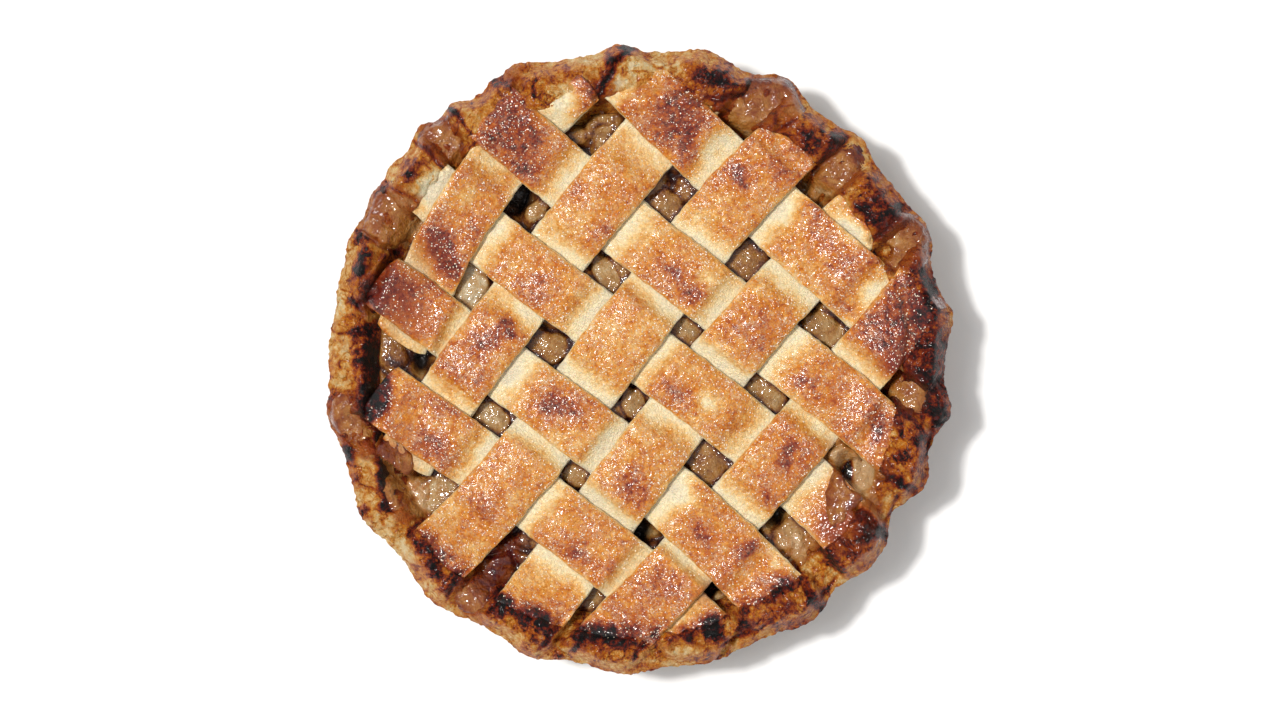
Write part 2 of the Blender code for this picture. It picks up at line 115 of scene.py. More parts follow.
# Scorched lumps of the rim: angle, radius, half length, half width, extra height and
# scorching from 0 to 1
SCORCHES = (
    (0, 119, 7, 6, 0.6, 0.42), (3.5, 123, 4, 3.5, 0.5, 0.5), (12.5, 122.5, 11, 4.5, 0.8, 0.95),
    (9, 117, 6, 4, 0.4, 0.6), (17.5, 119.5, 4.5, 4, 0.6, 0.7), (30.3, 118, 3, 8, 1, 0.9),
    (33.5, 110.5, 6, 3.2, 0.9, 0.85), (35, 118, 6.5, 5, 0.8, 0.6), (48, 121.5, 3.5, 3.5, 0.8, 0.8),
    (51.5, 116.5, 6.5, 4.5, 0.9, 0.62), (66.8, 121.5, 3, 2.5, 0.8, 0.95),
    (71, 119.8, 9, 3.8, 1.3, 0.9), (76.5, 119.5, 4, 3.5, 0.8, 0.6), (91, 125.5, 5, 3, 0.8, 0.85),
    (94, 119, 2.6, 8, 0.6, 0.8), (96.5, 114.5, 4, 5.5, 0.4, 0.6), (103, 118.5, 7, 3, 0.3, 0.4),
    (112, 119.5, 3.4, 4.5, 0.2, 0.4), (115.6, 125, 1.8, 3, 1, 0.75), (125.2, 125, 2.2, 4, 1, 0.8),
    (138.5, 117, 8, 5, 0.9, 0.55), (136, 120.5, 3, 2.5, 0.3, 0.35),
    (145.5, 121.5, 3.5, 2, 0.5, 0.7), (155, 118, 3, 3.5, 0.5, 0.9), (160, 114.5, 9, 3.4, 1.2, 0.97),
    (165, 109, 7, 4, 0.2, 0.7), (156.5, 108, 3, 5, 0.1, 0.5), (178, 104.5, 10, 3.6, 1.6, 1),
    (186.5, 105.5, 9, 4, 1.6, 1), (178, 109.5, 9, 3, 0, 0.45), (180, 101, 14, 4, 0.2, 0.85),
    (172.5, 106, 4, 6, 0, 0.7), (189.5, 103.5, 5, 3, 0.2, 0.5), (185, 99.5, 11, 3.5, 0, 0.75),
    (184.5, 99.5, 6, 5, 0, 1), (188.5, 102.5, 5, 4, 0, 0.95), (190.5, 106, 4.5, 5, 0, 0.9),
    (197.5, 119, 3.5, 2.2, 0.2, 0.65), (201, 106, 5.5, 2.2, 0.7, 1), (204, 108, 8, 2.4, 0.8, 1),
    (197.5, 105, 6, 2.4, 0.8, 1), (206.5, 110, 6, 2.4, 0.9, 1), (210.3, 114, 3, 2.4, 0.6, 0.85),
    (209, 121.5, 3.5, 2.5, 0.3, 0.7), (221.5, 110.5, 6, 3.2, 0.7, 0.7),
    (226.5, 113.5, 5.5, 3, 0.8, 0.6), (230.3, 113, 2.2, 4.5, 0.4, 0.75),
    (241.8, 108, 5, 5.5, 1.4, 0.93), (247.5, 107.5, 5, 5.5, 1.5, 0.8),
    (251, 110, 3.6, 7, 1.2, 0.88), (259.5, 109.5, 4, 4.5, 1.2, 0.85), (266, 108, 10, 6, 1.8, 0.93),
    (266, 104, 6, 3, 0.4, 0.9), (275, 108, 2.2, 5, 0, 0.6), (281, 110, 6, 4.5, 0.9, 0.72),
    (287.3, 110, 4.2, 6, 1.1, 0.98), (293, 113, 5, 3, 0.4, 0.6), (299, 107, 4, 2.6, 0.6, 0.6),
    (304, 107.5, 6, 2.6, 0.8, 0.72), (307.5, 118, 3, 3, 0.3, 0.7), (316, 113, 2.2, 8, 0.8, 0.55),
    (319.5, 114, 3, 7, 0.9, 0.55), (323.5, 116.5, 5, 5, 0.8, 0.72), (326, 120, 3, 3, 0.4, 0.7),
    (336.5, 117, 2.4, 5, 0.5, 0.8), (341.5, 113.5, 3, 2.4, 0.5, 0.75),
    (345, 119.5, 4, 3.5, 0.3, 0.5), (350.5, 125, 5, 3, 0.8, 0.8), (353.5, 119, 5, 4, 0.5, 0.5),
    (357, 121, 4, 4, 0.5, 0.55),
)

# Browner or paler places on the rim: angle, radius, half length, half width and amount
RIM_TONES = (
    (358, 119, 20, 12, 0.38), (134, 117, 30, 14, -0.07), (318, 116, 30, 14, -0.05),
    (92, 118, 22, 12, -0.25), (150, 116, 22, 12, -0.27), (210, 115, 26, 11, -0.14),
    (333, 114, 18, 10, -0.16), (45, 117, 44, 12, -0.05), (8, 129, 12, 2.5, -0.1),
    (12, 108, 12, 8, 0.1), (37, 108, 4, 5, -0.12), (31, 102, 8, 5, -0.25), (44, 125, 8, 5, -0.16),
    (52, 112, 9, 9, 0.1), (57, 122, 4, 5, -0.1), (76, 126, 14, 3.5, -0.14),
    (84, 119.5, 7, 3.5, -0.14), (80, 112, 10, 7, 0.08), (87, 112, 8, 8, 0.04),
    (99, 124, 12, 2.6, -0.18), (103, 116, 10, 4, 0.06), (104, 109, 9, 5, -0.2),
    (109, 122, 6, 4, -0.1), (138, 106, 8, 5.5, -0.32), (139, 121, 9, 3, -0.08),
    (164, 120, 20, 3, -0.16), (171, 113, 6, 7, 0.02), (180, 115, 14, 5, -0.2),
    (178, 114, 8, 2.4, -0.14), (163, 104, 14, 5, 0.22), (182, 101, 18, 6, 0.3),
    (200, 114, 10, 5.5, -0.14), (199, 118.5, 6, 2.5, 0.2), (206, 104, 12, 4, 0.2),
    (213, 116, 11, 8, -0.12), (220, 117, 11, 5, -0.18), (232, 120.5, 16, 4.5, -0.13),
    (223, 111, 9, 5, 0.12), (228, 104, 7, 6, 0.02), (247, 119.5, 16, 4, -0.14),
    (257, 112, 5, 6, -0.16), (267, 120, 16, 4, -0.12), (279, 118.5, 12, 6, -0.22),
    (294, 119.5, 12, 3.5, -0.08), (293, 111, 6, 4, -0.1), (311.5, 106, 7, 4, -0.3),
    (311, 113, 5, 4, -0.06), (320, 113, 12, 7, 0.02), (322, 121, 20, 5, -0.08),
    (330, 113, 6, 5, -0.02), (341, 114, 10, 9, 0.02), (348, 121, 4, 4.5, -0.12),
)

# Browner or paler places on the lattice: x, y, half sizes, turn and amount
PATCHES = (
    (-92, 30, 12, 10, 0, 0.12), (-55, 98, 12, 9, -38, 0.14), (-47, 87.5, 3, 2.2, 0, 0.26),
    (-40, 82, 10, 9, 0, 0.2), (-42, 97, 9, 6, -38, 0.12), (-22, 78, 6, 9, 50, -0.14),
    (-62, 66, 8, 8, 0, -0.16), (-53, 72, 7, 6, 0, 0.14), (-76, 47, 7, 11, 0, 0.24),
    (-73, 35, 7, 6, 0, 0.26), (-56, 55, 5, 5, 0, -0.08), (-40, 31, 7, 5, -37, 0.2),
    (-50, 47, 9, 6, -37, -0.04), (-27, 28, 7, 7, 0, -0.08), (-20, 71, 9, 5, 50, 0.12),
    (-12, 52, 4, 12, -38, 0.1), (-49, 13, 6, 6, 0, 0.34), (-57, 9, 8, 5, 0, 0.2),
    (-50, 24, 6, 6, 0, 0.05), (-66, -6, 10, 8, 50, 0.08), (-32, 104, 9, 8, 0, -0.28),
    (-31, 115, 7, 4, 0, 0.12), (-16, 113, 5, 7, 0, 0.24), (17, 99, 8, 12, -42, 0.24),
    (24, 90, 5, 9, -10, 0.16), (6, 104, 8, 6, 0, -0.06), (3, 119, 7, 4, 0, 0.16),
    (34, 87, 7, 10, -42, -0.2), (44, 76, 5, 8, 40, 0.16), (33, 62, 10, 8, 0, -0.12),
    (59, 76, 8, 7, 0, 0.04), (62, 60, 9, 7, -42, -0.14), (80, 43, 12, 7, -42, 0.14),
    (86, 24, 7, 4, -42, 0.26), (98, 30, 6, 5, 40, -0.14), (19, 36, 10, 4.5, -42, 0.16),
    (24, 26.5, 4.5, 4, 0, 0.26), (33, 34, 6, 6, 0, -0.14), (8, 52, 9, 6, -40, -0.12),
    (44, 19, 10, 5, 50, 0.06), (56, 32, 6, 8, -40, -0.1), (50, 8, 6, 10, -40, 0.08),
    (99, 13, 8, 7, 40, 0.24), (111, 22, 7, 9, 0, 0.24), (93, 3, 6, 5, 0, -0.05),
    (92, 62, 6, 7, 50, 0.2), (99, 66, 6, 7, 50, 0.3), (104, 68, 4, 5, 50, 0.25),
    (-74, -16, 9, 6, -36, 0.12), (-78, -33, 9, 6, -36, 0.22), (-62, -31, 5, 9, 55, -0.1),
    (-62, -61, 8, 8, 0, 0.08), (-66, -76, 6, 5, 40, -0.12), (-80, -75, 4, 10, 20, 0.3),
    (-73, -86, 5, 5, 0, 0.25), (-31, -17, 9, 8, 0, 0.2), (-20, -21, 5, 7, 40, 0.14),
    (-47, -6, 7, 7, 0, -0.14), (-11, -29, 6, 6, 0, -0.12), (-26, -72, 12, 4, -36, 0.2),
    (-12, -82, 6, 5, 0, 0.14), (-25, -58, 5, 4, 0, 0.06), (-36, -88, 8, 8, 0, -0.06),
    (-1, -50, 8, 10, -38, 0.2), (8, -26, 8, 6, -38, -0.08), (18, -10, 9, 4, -38, 0.14),
    (30, -15.5, 5, 4, -38, -0.24), (40, -24, 7, 6, -38, 0.06), (73, -10, 10, 5, -38, 0.24),
    (98, -24, 3, 10, 0, 0.24), (108, -32, 7, 7, 0, 0.12), (64, -37, 6, 8, -10, 0.24),
    (52, -50, 6, 9, -20, 0.1), (76, -27, 5, 6, 0, -0.1), (60, -26, 7, 6, 0, 0.06),
    (22, -54, 7, 5, -40, -0.16), (26, -67, 7, 5, -20, 0.18), (48, -76, 8, 6, -40, 0.22),
    (61, -88, 9, 5, -20, 0.3), (72, -95, 7, 7, 0, 0.14), (14, -89, 6, 5, 0, 0.16),
    (20, -76, 8, 6, 40, -0.1), (2, -92, 8, 6, 0, 0.06), (72, -53, 8, 7, 0, 0.05),
)

# Places soaked by juice: x, y, half sizes, turn and amount
SOAKED = (
    (-97, 30, 13, 11, -50, 0.5), (-86, 18, 10, 6, -37, 0.4), (-104, 32, 5, 8, 0, 0.4),
    (-80, 44, 9, 12, 15, 0.45), (-96, 6, 6, 9, 0, 0.3), (-97, -8, 5, 8, 0, 0.2),
    (-93, -37, 6, 9, 35, 0.9), (86, -60, 10, 14, 20, 1), (80, -66, 7, 6, 0, 1),
    (100, -46, 6, 8, 0, 0.6), (104, 0, 8, 6, 0, 0.5), (78, 84, 5, 6, 0, 0.6),
    (34, 107, 5, 5, 0, 0.5), (-47, 114, 4, 6, 0, 0.9), (32, -90, 8, 4, 38, 0.8),
    (84, -36, 8, 4, -40, 0.7),
)

# Juice that boiled over the rim: angle, radius, half length, half width and thickness
JUICES = (
    (24, 116, 11, 15, 3.2), (26.5, 104, 5, 5, 1.6), (42.6, 111, 8, 13.5, 2.6),
    (61.5, 116, 13, 15, 3.4), (66, 108, 14, 8, 2.6), (56.5, 106, 6, 6, 1.6),
    (130, 116.5, 8, 12, 2.8), (149, 113, 13, 12, 2.8), (146, 105, 9, 7, 1.8),
    (165, 105, 12, 7, 1.4), (190.5, 115.5, 11, 9, 2.4), (196, 110, 9, 6, 1.8),
    (203, 102, 8, 5, 1.4), (210.5, 104, 12, 9.5, 2.4), (235.8, 112, 8, 8, 2.2),
    (236, 95, 7.5, 14, 2.6), (354, 111, 9.5, 9.5, 2.8), (321, 102, 16, 7, 2),
    (311.5, 97, 8, 9, 1.6), (334, 99.5, 15, 12, 8.5), (337, 106, 6, 8, 6.5), (338, 89, 11, 9, 7),
    (97.5, 107.5, 7, 3, 0.8), (289, 101, 9, 3.6, 1.2),
)

# Openings in the juice skin: x, y and half sizes
JUICE_HOLES = (
    (35.5, -93, 5, 4), (99, 45, 5, 4), (-83, 1, 5.5, 6),
)

# Round hollow in a pool of juice that shows apple, its left part painted dark as shadow: x, y, half sizes
# and drop
JUICE_WELLS = ((91, -44.4, 6.4, 7, 4),)

# Places where juice has run over the end of a strip: x, y, half sizes, turn and amount
SPILLS = (
    (89, -58, 10.5, 15, 25, 1), (-94, -38, 7, 8, 35, 1),
)

# Places where the syrup is dark: x, y, half sizes, turn and amount
DARK_SYRUP = (
    (-52, -79, 9, 15, -30, 0.42), (-86, 4, 6, 6, 0, 0.4), (-95, 1, 6, 10, 0, 0.35),
    (-106, 26, 7, 6, 0, 0.4),
)

# Creases between folded pieces of the rim, cut in and painted darker as shade: start angle,
# start radius, end angle, end radius, half width and depth
CREASES = (
    (346, 122, 354, 101, 1, 2.2), (2.5, 108, 9.5, 121, 1, 1.8), (27, 108, 29.5, 126, 1.2, 2.2),
    (46, 107, 47, 125, 1.6, 3.2), (58, 108, 56, 118, 0.9, 1.4), (66, 118, 74, 110, 1, 1.8),
    (78, 111, 87.5, 123, 0.7, 1.4), (90.5, 126, 97.5, 106, 1.4, 2.6),
    (108.5, 122, 109.5, 113, 0.8, 1.4), (114.5, 126, 112, 112, 0.8, 1.4),
    (124.5, 122, 125, 109, 1, 2), (134, 124, 133.5, 108, 1, 1.8),
    (143.5, 122, 142.5, 104, 0.9, 1.6), (154, 122, 154.5, 103, 1.4, 3),
    (167.5, 116, 170, 103, 1.1, 1.8), (174, 117, 172, 100, 1.1, 1.8),
    (190.5, 112, 189, 97, 1.2, 2.2), (196, 103, 211, 111.5, 1.6, 3),
    (212.5, 118, 211, 105, 0.9, 1.6), (217.5, 112, 217.5, 98, 1.2, 2),
    (231.5, 117, 231.5, 98, 1.2, 2.4), (240, 114, 240.5, 102, 1, 2),
    (252.5, 119, 255, 103, 1.3, 2.6), (258.5, 116, 261.5, 104, 1.1, 2),
    (270.5, 117, 281, 99, 1.2, 2.4), (288, 118, 299, 117.5, 0.9, 1.6),
    (307.5, 125, 308.5, 106, 1.6, 3.4), (309, 120, 316, 118, 0.9, 1.8),
    (315.5, 119, 315.5, 106, 0.8, 1.2), (320, 117, 320.5, 107, 0.6, 1),
    (325.5, 124, 327.5, 107, 1.6, 3.4), (327.5, 119.5, 334, 119.5, 0.9, 1.8),
    (336, 124, 336.5, 104, 1.4, 2.8), (342, 123, 349, 124, 0.8, 1.4),
)

# Apple slices seen through the lattice: x, y, half sizes, turn, rise and paleness from
# -1 to 1
SLICES = (
    (-65, 31, 8, 11, 20, 1.6, 0.75), (-10, 36, 4.5, 10, 30, 1.6, 0.3),
    (14, 64, 9, 5.5, -40, 1.4, -0.1), (6, 73, 10, 6, 30, 0.8, 0.1), (47, 41, 9, 8, 30, 1.6, -0.25),
    (77, 14, 10, 6, -30, 1.4, 0.1), (31, -40, 7.5, 9.5, 20, 1.8, -0.15),
    (1, -16, 5, 7, 30, 1.2, 0.1), (55, -12, 10, 6, -40, 1.2, 0.15), (22, 13, 7, 5, -30, 1.2, 0.1),
    (-33, 6, 8, 7, 20, 1.4, -0.1), (-56, -22, 8, 6, -30, 1, 0.35),
    (-22, -45, 6, 4.5, -30, 1.2, 0.2), (91.5, -46.5, 7.5, 7.5, 0, 1.2, 0.3),
    (37.5, -94, 4.5, 4, 0, 2, 0.4), (66, -70, 9, 7, -30, 1, 0), (-13, 95, 6, 5, 60, 1.8, 0),
    (-10, 90, 5, 6, 30, 1, 0.1), (-38, 61, 5, 4, 30, 1.4, 0.25), (-36, -72, 4, 9, 20, 0.8, 0.1),
    (-15, -94, 5, 6, 0, 1, 0.1), (-77, -52, 9, 9, 0, 1.2, 0.35),
)

# Steam hollows in the filling, sunk and painted darker with shade as they deepen: x, y, half sizes and
# depth
PITS = (
    (-45, 67, 6, 7, 9), (-20.5, 98.5, 9, 3.4, 9), (-84, 1.5, 3.4, 5, 8), (-52, -68.5, 3, 5, 5),
    (4, -66.5, 4, 5, 8), (98, 44, 4, 3, 7), (86, -43, 3.6, 6, 8), (33.5, -91, 3.4, 2.6, 8),
    (57.5, -61, 4, 5, 6), (-68.5, 84, 3, 3, 7), (70, 19, 3.5, 3.5, 5), (104, -9, 2.4, 4, 6),
    (69, 70, 3, 3, 4),
)

# Browning of pastry runs from 0 to 1
BURNT = 0.94
HIGHEST_RIM_BAKE = 0.76
HIGHEST_LATTICE_BAKE = 0.72

# Radius from which folds, lumps and creases show, and the run over which they grow
RIM_START = 101.0
RIM_RUN = 6.0

# Distances that stand for nothing near
FAR_AWAY = 999.0
NO_STRIP = 900.0

# Point counts, steps and spacings of the meshes
CRUST_COLUMNS = 1100
LIP_RINGS = 8
OUTER_RIM_RINGS = 24
INNER_RIM_RINGS = 20
FILLING_COLUMNS = 420
FILLING_TOP_RINGS = 120
JUICE_COLUMNS = 1000
JUICE_RINGS = 60
JUICE_INNER_RADIUS = 80.0
STRIP_TOP_POINTS = 34
STRIP_SIDE_POINTS = 5
STRIP_STEP = 0.8
BISECTIONS = 24
INTO_GLASS = 0.15
SLICE_SPACING = 15.0

# Sugar grains tried for each so many top points of the strips
GRAIN_COUNT = 15000
GRAIN_COUNT_POINTS = 81600.0

# Light: brightness of the sky and how it rises, strengths and direction of the lamps, and
# the level of light and of mirrored light that surface colours are worked out for
SKY_LEVEL = 0.53
SKY_RISE = 0.36
SUN_STRENGTH = 2.0
SOFT_BOX_STRENGTH = 0.75
SUN_HEIGHT = math.radians(66.0)
LIGHT_FROM = math.radians(164.0)
LAMP_COLOUR = (1.0, 0.985, 0.96)
LIGHT_SUM = SKY_LEVEL + (SUN_STRENGTH + SOFT_BOX_STRENGTH) * math.sin(SUN_HEIGHT) / math.pi
LIGHT_LEVEL = 0.84 * LIGHT_SUM
MIRRORED_LEVEL = 0.03

# Camera straight above. The scale holds at the rim's level, and the pie's middle is some
# pixels left of the picture's centre and below it.
CAMERA_DISTANCE = 2.0
RIM_LEVEL = 0.042
SENSOR_WIDTH = 36.0
MM_PER_PIXEL = 0.4
PICTURE_WIDTH = 1280
PIE_LEFT = 9.0
PIE_BELOW = 4.0


def smooth_step(value):
    """Ease values from 0 to 1."""
    value = np.clip(value, 0.0, 1.0)
    return value * value * (3.0 - 2.0 * value)


def ease(value, start, run):
    """Ease from 0 to 1 while a value goes through a run from a start."""
    return smooth_step((value - start) / run)


def turn_between(first, second):
    """Signed difference of angles in degrees."""
    return (first - second + 180.0) % 360.0 - 180.0


def hashed(i, j, k, seed):
    """Repeatable numbers from 0 to 1 on whole coordinates, by mixing bits with odd numbers."""
    mask = np.int64(0xFFFFFFFF)
    mixed = (i * 374761393 + j * 668265263 + k * 1440662683 + seed * 362437) & mask
    mixed = ((mixed ^ (mixed >> 13)) * 1274126177) & mask
    mixed = ((mixed ^ (mixed >> 15)) * 2246822519) & mask
    return (mixed ^ (mixed >> 16)) / float(mask)


def noise(x, y, z, size, seed):
    """Smooth noise from -1 to 1 with features of a size in millimetres."""
    x, y, z = np.broadcast_arrays(x, y, z)
    cells = []
    parts = []
    for value in (x, y, z):
        scaled = value / size + 1000.0
        cell = np.floor(scaled)
        part = scaled - cell
        cells.append(cell.astype(np.int64))
        parts.append(part * part * (3.0 - 2.0 * part))
    total = np.zeros(x.shape)
    for a in (0, 1):
        weight_a = parts[0] if a else 1.0 - parts[0]
        for b in (0, 1):
            weight_b = parts[1] if b else 1.0 - parts[1]
            for c in (0, 1):
                weight_c = parts[2] if c else 1.0 - parts[2]
                corner = hashed(cells[0] + a, cells[1] + b, cells[2] + c, seed)
                total += weight_a * weight_b * weight_c * corner
    return total * 2.0 - 1.0


def layered_noise(x, y, z, size, seed, layers=3):
    """Sum of noises that get finer and weaker."""
    total = 0.0
    weight = 1.0
    weights = 0.0
    for layer in range(layers):
        total += weight * noise(x, y, z, size, seed + 17 * layer)
        weights += weight
        weight *= 0.55
        size *= 0.5
    return total / weights


def oval_distance(x, y, middle_x, middle_y, half_x, half_y, turn=0.0):
    """Squared distance in plan from the middle of an oval, in half sizes."""
    cos_turn = math.cos(math.radians(turn))
    sin_turn = math.sin(math.radians(turn))
    along = ((x - middle_x) * cos_turn + (y - middle_y) * sin_turn) / half_x
    across = ((y - middle_y) * cos_turn - (x - middle_x) * sin_turn) / half_y
    return along ** 2 + across ** 2


def patch_sum(x, y, patches):
    """Sum of soft oval patches given in plan."""
    total = np.zeros(x.shape)
    for *oval, amount in patches:
        total += amount * np.exp(-oval_distance(x, y, *oval) ** 1.3)
    return total


def soaking(x, y):
    """Share from 0 to 1 by which juice has soaked into the pastry."""
    return np.clip(patch_sum(x, y, SOAKED), 0.0, 1.0)


def polar(x, y):
    """Angle in degrees and radius."""
    return np.degrees(np.arctan2(y, x)), np.hypot(x, y)


def plan(angle, radius):
    """Place in plan from an angle in degrees and a radius."""
    return radius * np.cos(np.radians(angle)), radius * np.sin(np.radians(angle))


def rim_outline(angle):
    """Outer radius of the crust."""
    swing = np.cos(np.radians(angle - RIM_OUTLINE_TURN))
    radius = RIM_OUTLINE_MEAN + RIM_OUTLINE_SWING * swing
    for lobe_angle, half_width, reach in RIM_LOBES:
        radius += reach * np.exp(-(turn_between(angle, lobe_angle) / half_width) ** 2)
    return np.maximum(radius, DISH_RIM_RADIUS + 0.5)


def rim_distance(angle, radius, form_angle, form_radius, along, across):
    """Squared distance from the middle of an oval form on the rim, in half sizes."""
    along_away = np.radians(turn_between(angle, form_angle)) * form_radius / along
    return along_away ** 2 + ((radius - form_radius) / across) ** 2


def rim_sum(angle, radius, forms, power=1.0):
    """Sum of soft oval forms given on the rim."""
    total = np.zeros(np.broadcast(angle, radius).shape)
    for *form, amount in forms:
        total += amount * np.exp(-rim_distance(angle, radius, *form) ** power)
    return total


def rim_top(angle, radius):
    """Height of the top of the crust rim."""
    outline = rim_outline(angle)
    inner = (radius - RIM_INNER_RADIUS) / (RIM_CREST_RADIUS - RIM_INNER_RADIUS)
    outer = np.clip((radius - RIM_CREST_RADIUS) / (outline - RIM_CREST_RADIUS), 0.0, 1.0)
    relief = rim_sum(angle, radius, RIM_FORMS)
    rise = RIM_CREST_HEIGHT - RIM_INNER_HEIGHT
    inner_top = RIM_INNER_HEIGHT + rise * np.sin(np.clip(inner, 0.0, 1.0) * math.pi / 2.0)
    inner_top += relief * smooth_step(inner * 2.0)
    inner_top = np.where(inner < 0.0, RIM_INNER_HEIGHT + inner * 12.0, inner_top)
    fall = RIM_CREST_HEIGHT - RIM_LIP_HEIGHT
    outer_top = RIM_CREST_HEIGHT - fall * outer ** 1.8 + relief * (1.0 - outer ** 2)
    return np.where(radius <= RIM_CREST_RADIUS, inner_top, outer_top)


def rim_tone(angle, radius):
    """Browning that soft oval patches add to the rim."""
    return rim_sum(angle, radius, RIM_TONES, 1.3)


def crease_at(x, y):
    """Depth of the creases between folded pieces of the rim."""
    depth = np.zeros(x.shape)
    wander = 1.1 * noise(x, y, 0.0, 5.0, 91)
    for start_angle, start_radius, end_angle, end_radius, half_width, amount in CREASES:
        start_x, start_y = plan(start_angle, start_radius)
        end_x, end_y = plan(end_angle, end_radius)
        run_x = end_x - start_x
        run_y = end_y - start_y
        length = math.hypot(run_x, run_y)
        along = ((x - start_x) * run_x + (y - start_y) * run_y) / length
        across = ((y - start_y) * run_x - (x - start_x) * run_y) / length + wander
        beyond = along - np.clip(along, 0.0, length)
        away = np.hypot(across, beyond) / half_width
        depth = np.maximum(depth, amount * np.exp(-away ** 2))
    return depth


def scorch_at(angle, radius):
    """Extra height and scorching of the burnt lumps of the rim."""
    height = np.zeros(np.broadcast(angle, radius).shape)
    scorch = np.zeros(height.shape)
    for *form, amount, burn in SCORCHES:
        away = rim_distance(angle, radius, *form)
        height += amount * np.exp(-away)
        scorch = np.maximum(scorch, burn * np.exp(-(away * 0.8) ** 1.3))
    return height, scorch


def burn_level(scorch, x, y, z):
    """Scorching with ragged, speckled borders."""
    ragged = 0.5 * layered_noise(x, y, z, 4.5, 93, 3) + 0.25 * noise(x, y, z, 1.4, 95)
    ragged += 0.12 * rim_folds(x, y, *polar(x, y))
    return np.clip(scorch * (1.05 + ragged) - 0.1 + 0.25 * ragged, 0.0, 1.0)


def rim_folds(x, y, angle, radius):
    """Lumps, flutes and flakes of the rim, in millimetres, about zero."""
    lumps = layered_noise(x, y, 0.0, 7.5, 101, 3)
    flutes = 1.0 - 2.4 * np.abs(layered_noise(angle * 0.42, radius * 0.05, 0.0, 1.0, 103, 2))
    ridges = 0.6 - 2.4 * np.abs(layered_noise(x, y, 0.0, 4.6, 109, 2))
    flakes = layered_noise(x, y, 0.0, 1.9, 105, 2)
    amount = ease(radius, RIM_START, RIM_RUN)
    return amount * (1.5 * lumps + 0.8 * flutes + 0.9 * ridges + 0.5 * flakes)


def dome_height(radius):
    """Middle level of a lattice that only lies on the filling."""
    return LATTICE_CENTRE_HEIGHT - LATTICE_FALL * (radius / LATTICE_FALL_RADIUS) ** 2


def lattice_middle(radius):
    """Middle level of the lattice, which climbs softly on to the rim."""
    crest = RIM_CREST_HEIGHT + STRIP_RIM_GAP + STRIP_THICKNESS + 0.5 * STRIP_GAP
    run = LATTICE_RISE_END - LATTICE_RISE_START
    rise = crest - dome_height(LATTICE_RISE_END)
    inner = dome_height(radius) + rise * smooth_step((radius - LATTICE_RISE_START) / run)
    outer = crest - LATTICE_RIM_FALL * (radius - LATTICE_RISE_END) ** 2
    return np.where(radius > LATTICE_RISE_END, outer, inner)


def strip_axes(strip):
    """Unit direction and unit sideways direction of a strip."""
    turn = math.radians(strip.turn)
    return (math.cos(turn), math.sin(turn)), (-math.sin(turn), math.cos(turn))


def strip_centre(strip, along):
    """Sideways place of the strip's centre line."""
    part = (along - strip.middle) / 100.0
    return strip.offset + strip.bend * part ** 2 + strip.twist * part ** 3


def strip_half_width(strip, along):
    """Half the strip's width."""
    return 0.5 * (strip.width + strip.widening * (along - strip.middle) / 100.0)


def strip_place(strip, along, sideways_from_centre):
    """Plan position on a strip."""
    forward, side = strip_axes(strip)
    sideways = strip_centre(strip, along) + sideways_from_centre
    x = along * forward[0] + sideways * side[0]
    y = along * forward[1] + sideways * side[1]
    return x, y


def beside_strip(strip, x, y):
    """Distance outside a strip's side, and signed sideways distance from its centre."""
    forward, side = strip_axes(strip)
    along = x * forward[0] + y * forward[1]
    sideways = x * side[0] + y * side[1] - strip_centre(strip, along)
    edge = np.abs(sideways) - strip_half_width(strip, along)
    off = (along < strip.low_end - 4.0) | (along > strip.high_end + 4.0)
    return np.where(off, FAR_AWAY, edge), sideways


def weave(own_index, others, own_is_a, x, y):
    """Level in the weave, and the distance to the nearest strip that passes over."""
    before_edge = np.full(x.shape, NO_STRIP)
    before_level = np.full(x.shape, -1.0)
    after_edge = np.full(x.shape, NO_STRIP)
    after_level = np.full(x.shape, -1.0)
    plateau = np.full(x.shape, np.nan)
    cover = np.full(x.shape, NO_STRIP)
    for index, other in others.items():
        edge, sideways = beside_strip(other, x, y)
        odd = (own_index + index) % 2 == 1
        level = 1.0 if odd == own_is_a else -1.0
        if level < 0.0:
            cover = np.minimum(cover, edge)
        edge -= PLATEAU_MARGIN
        plateau = np.where(edge <= 0.0, level, plateau)
        left = (sideways > 0.0) & (edge > 0.0) & (edge < before_edge)
        before_edge = np.where(left, edge, before_edge)
        before_level = np.where(left, level, before_level)
        right = (sideways <= 0.0) & (edge > 0.0) & (edge < after_edge)
        after_edge = np.where(right, edge, after_edge)
        after_level = np.where(right, level, after_level)
    share = before_edge / (before_edge + after_edge)
    between = before_level + (after_level - before_level) * smooth_step(share)
    nearest = np.minimum(before_edge, after_edge)
    near_level = np.where(before_edge < after_edge, before_level, after_level)
    run = REST_RUN * (1.0 - 0.35 * smooth_step((np.hypot(x, y) - 92.0) / 12.0))
    ending = near_level + (-1.0 - near_level) * smooth_step(nearest / run)
    lone = (before_edge == NO_STRIP) | (after_edge == NO_STRIP)
    level = np.where(lone, ending, between)
    return np.where(np.isnan(plateau), level, plateau), cover


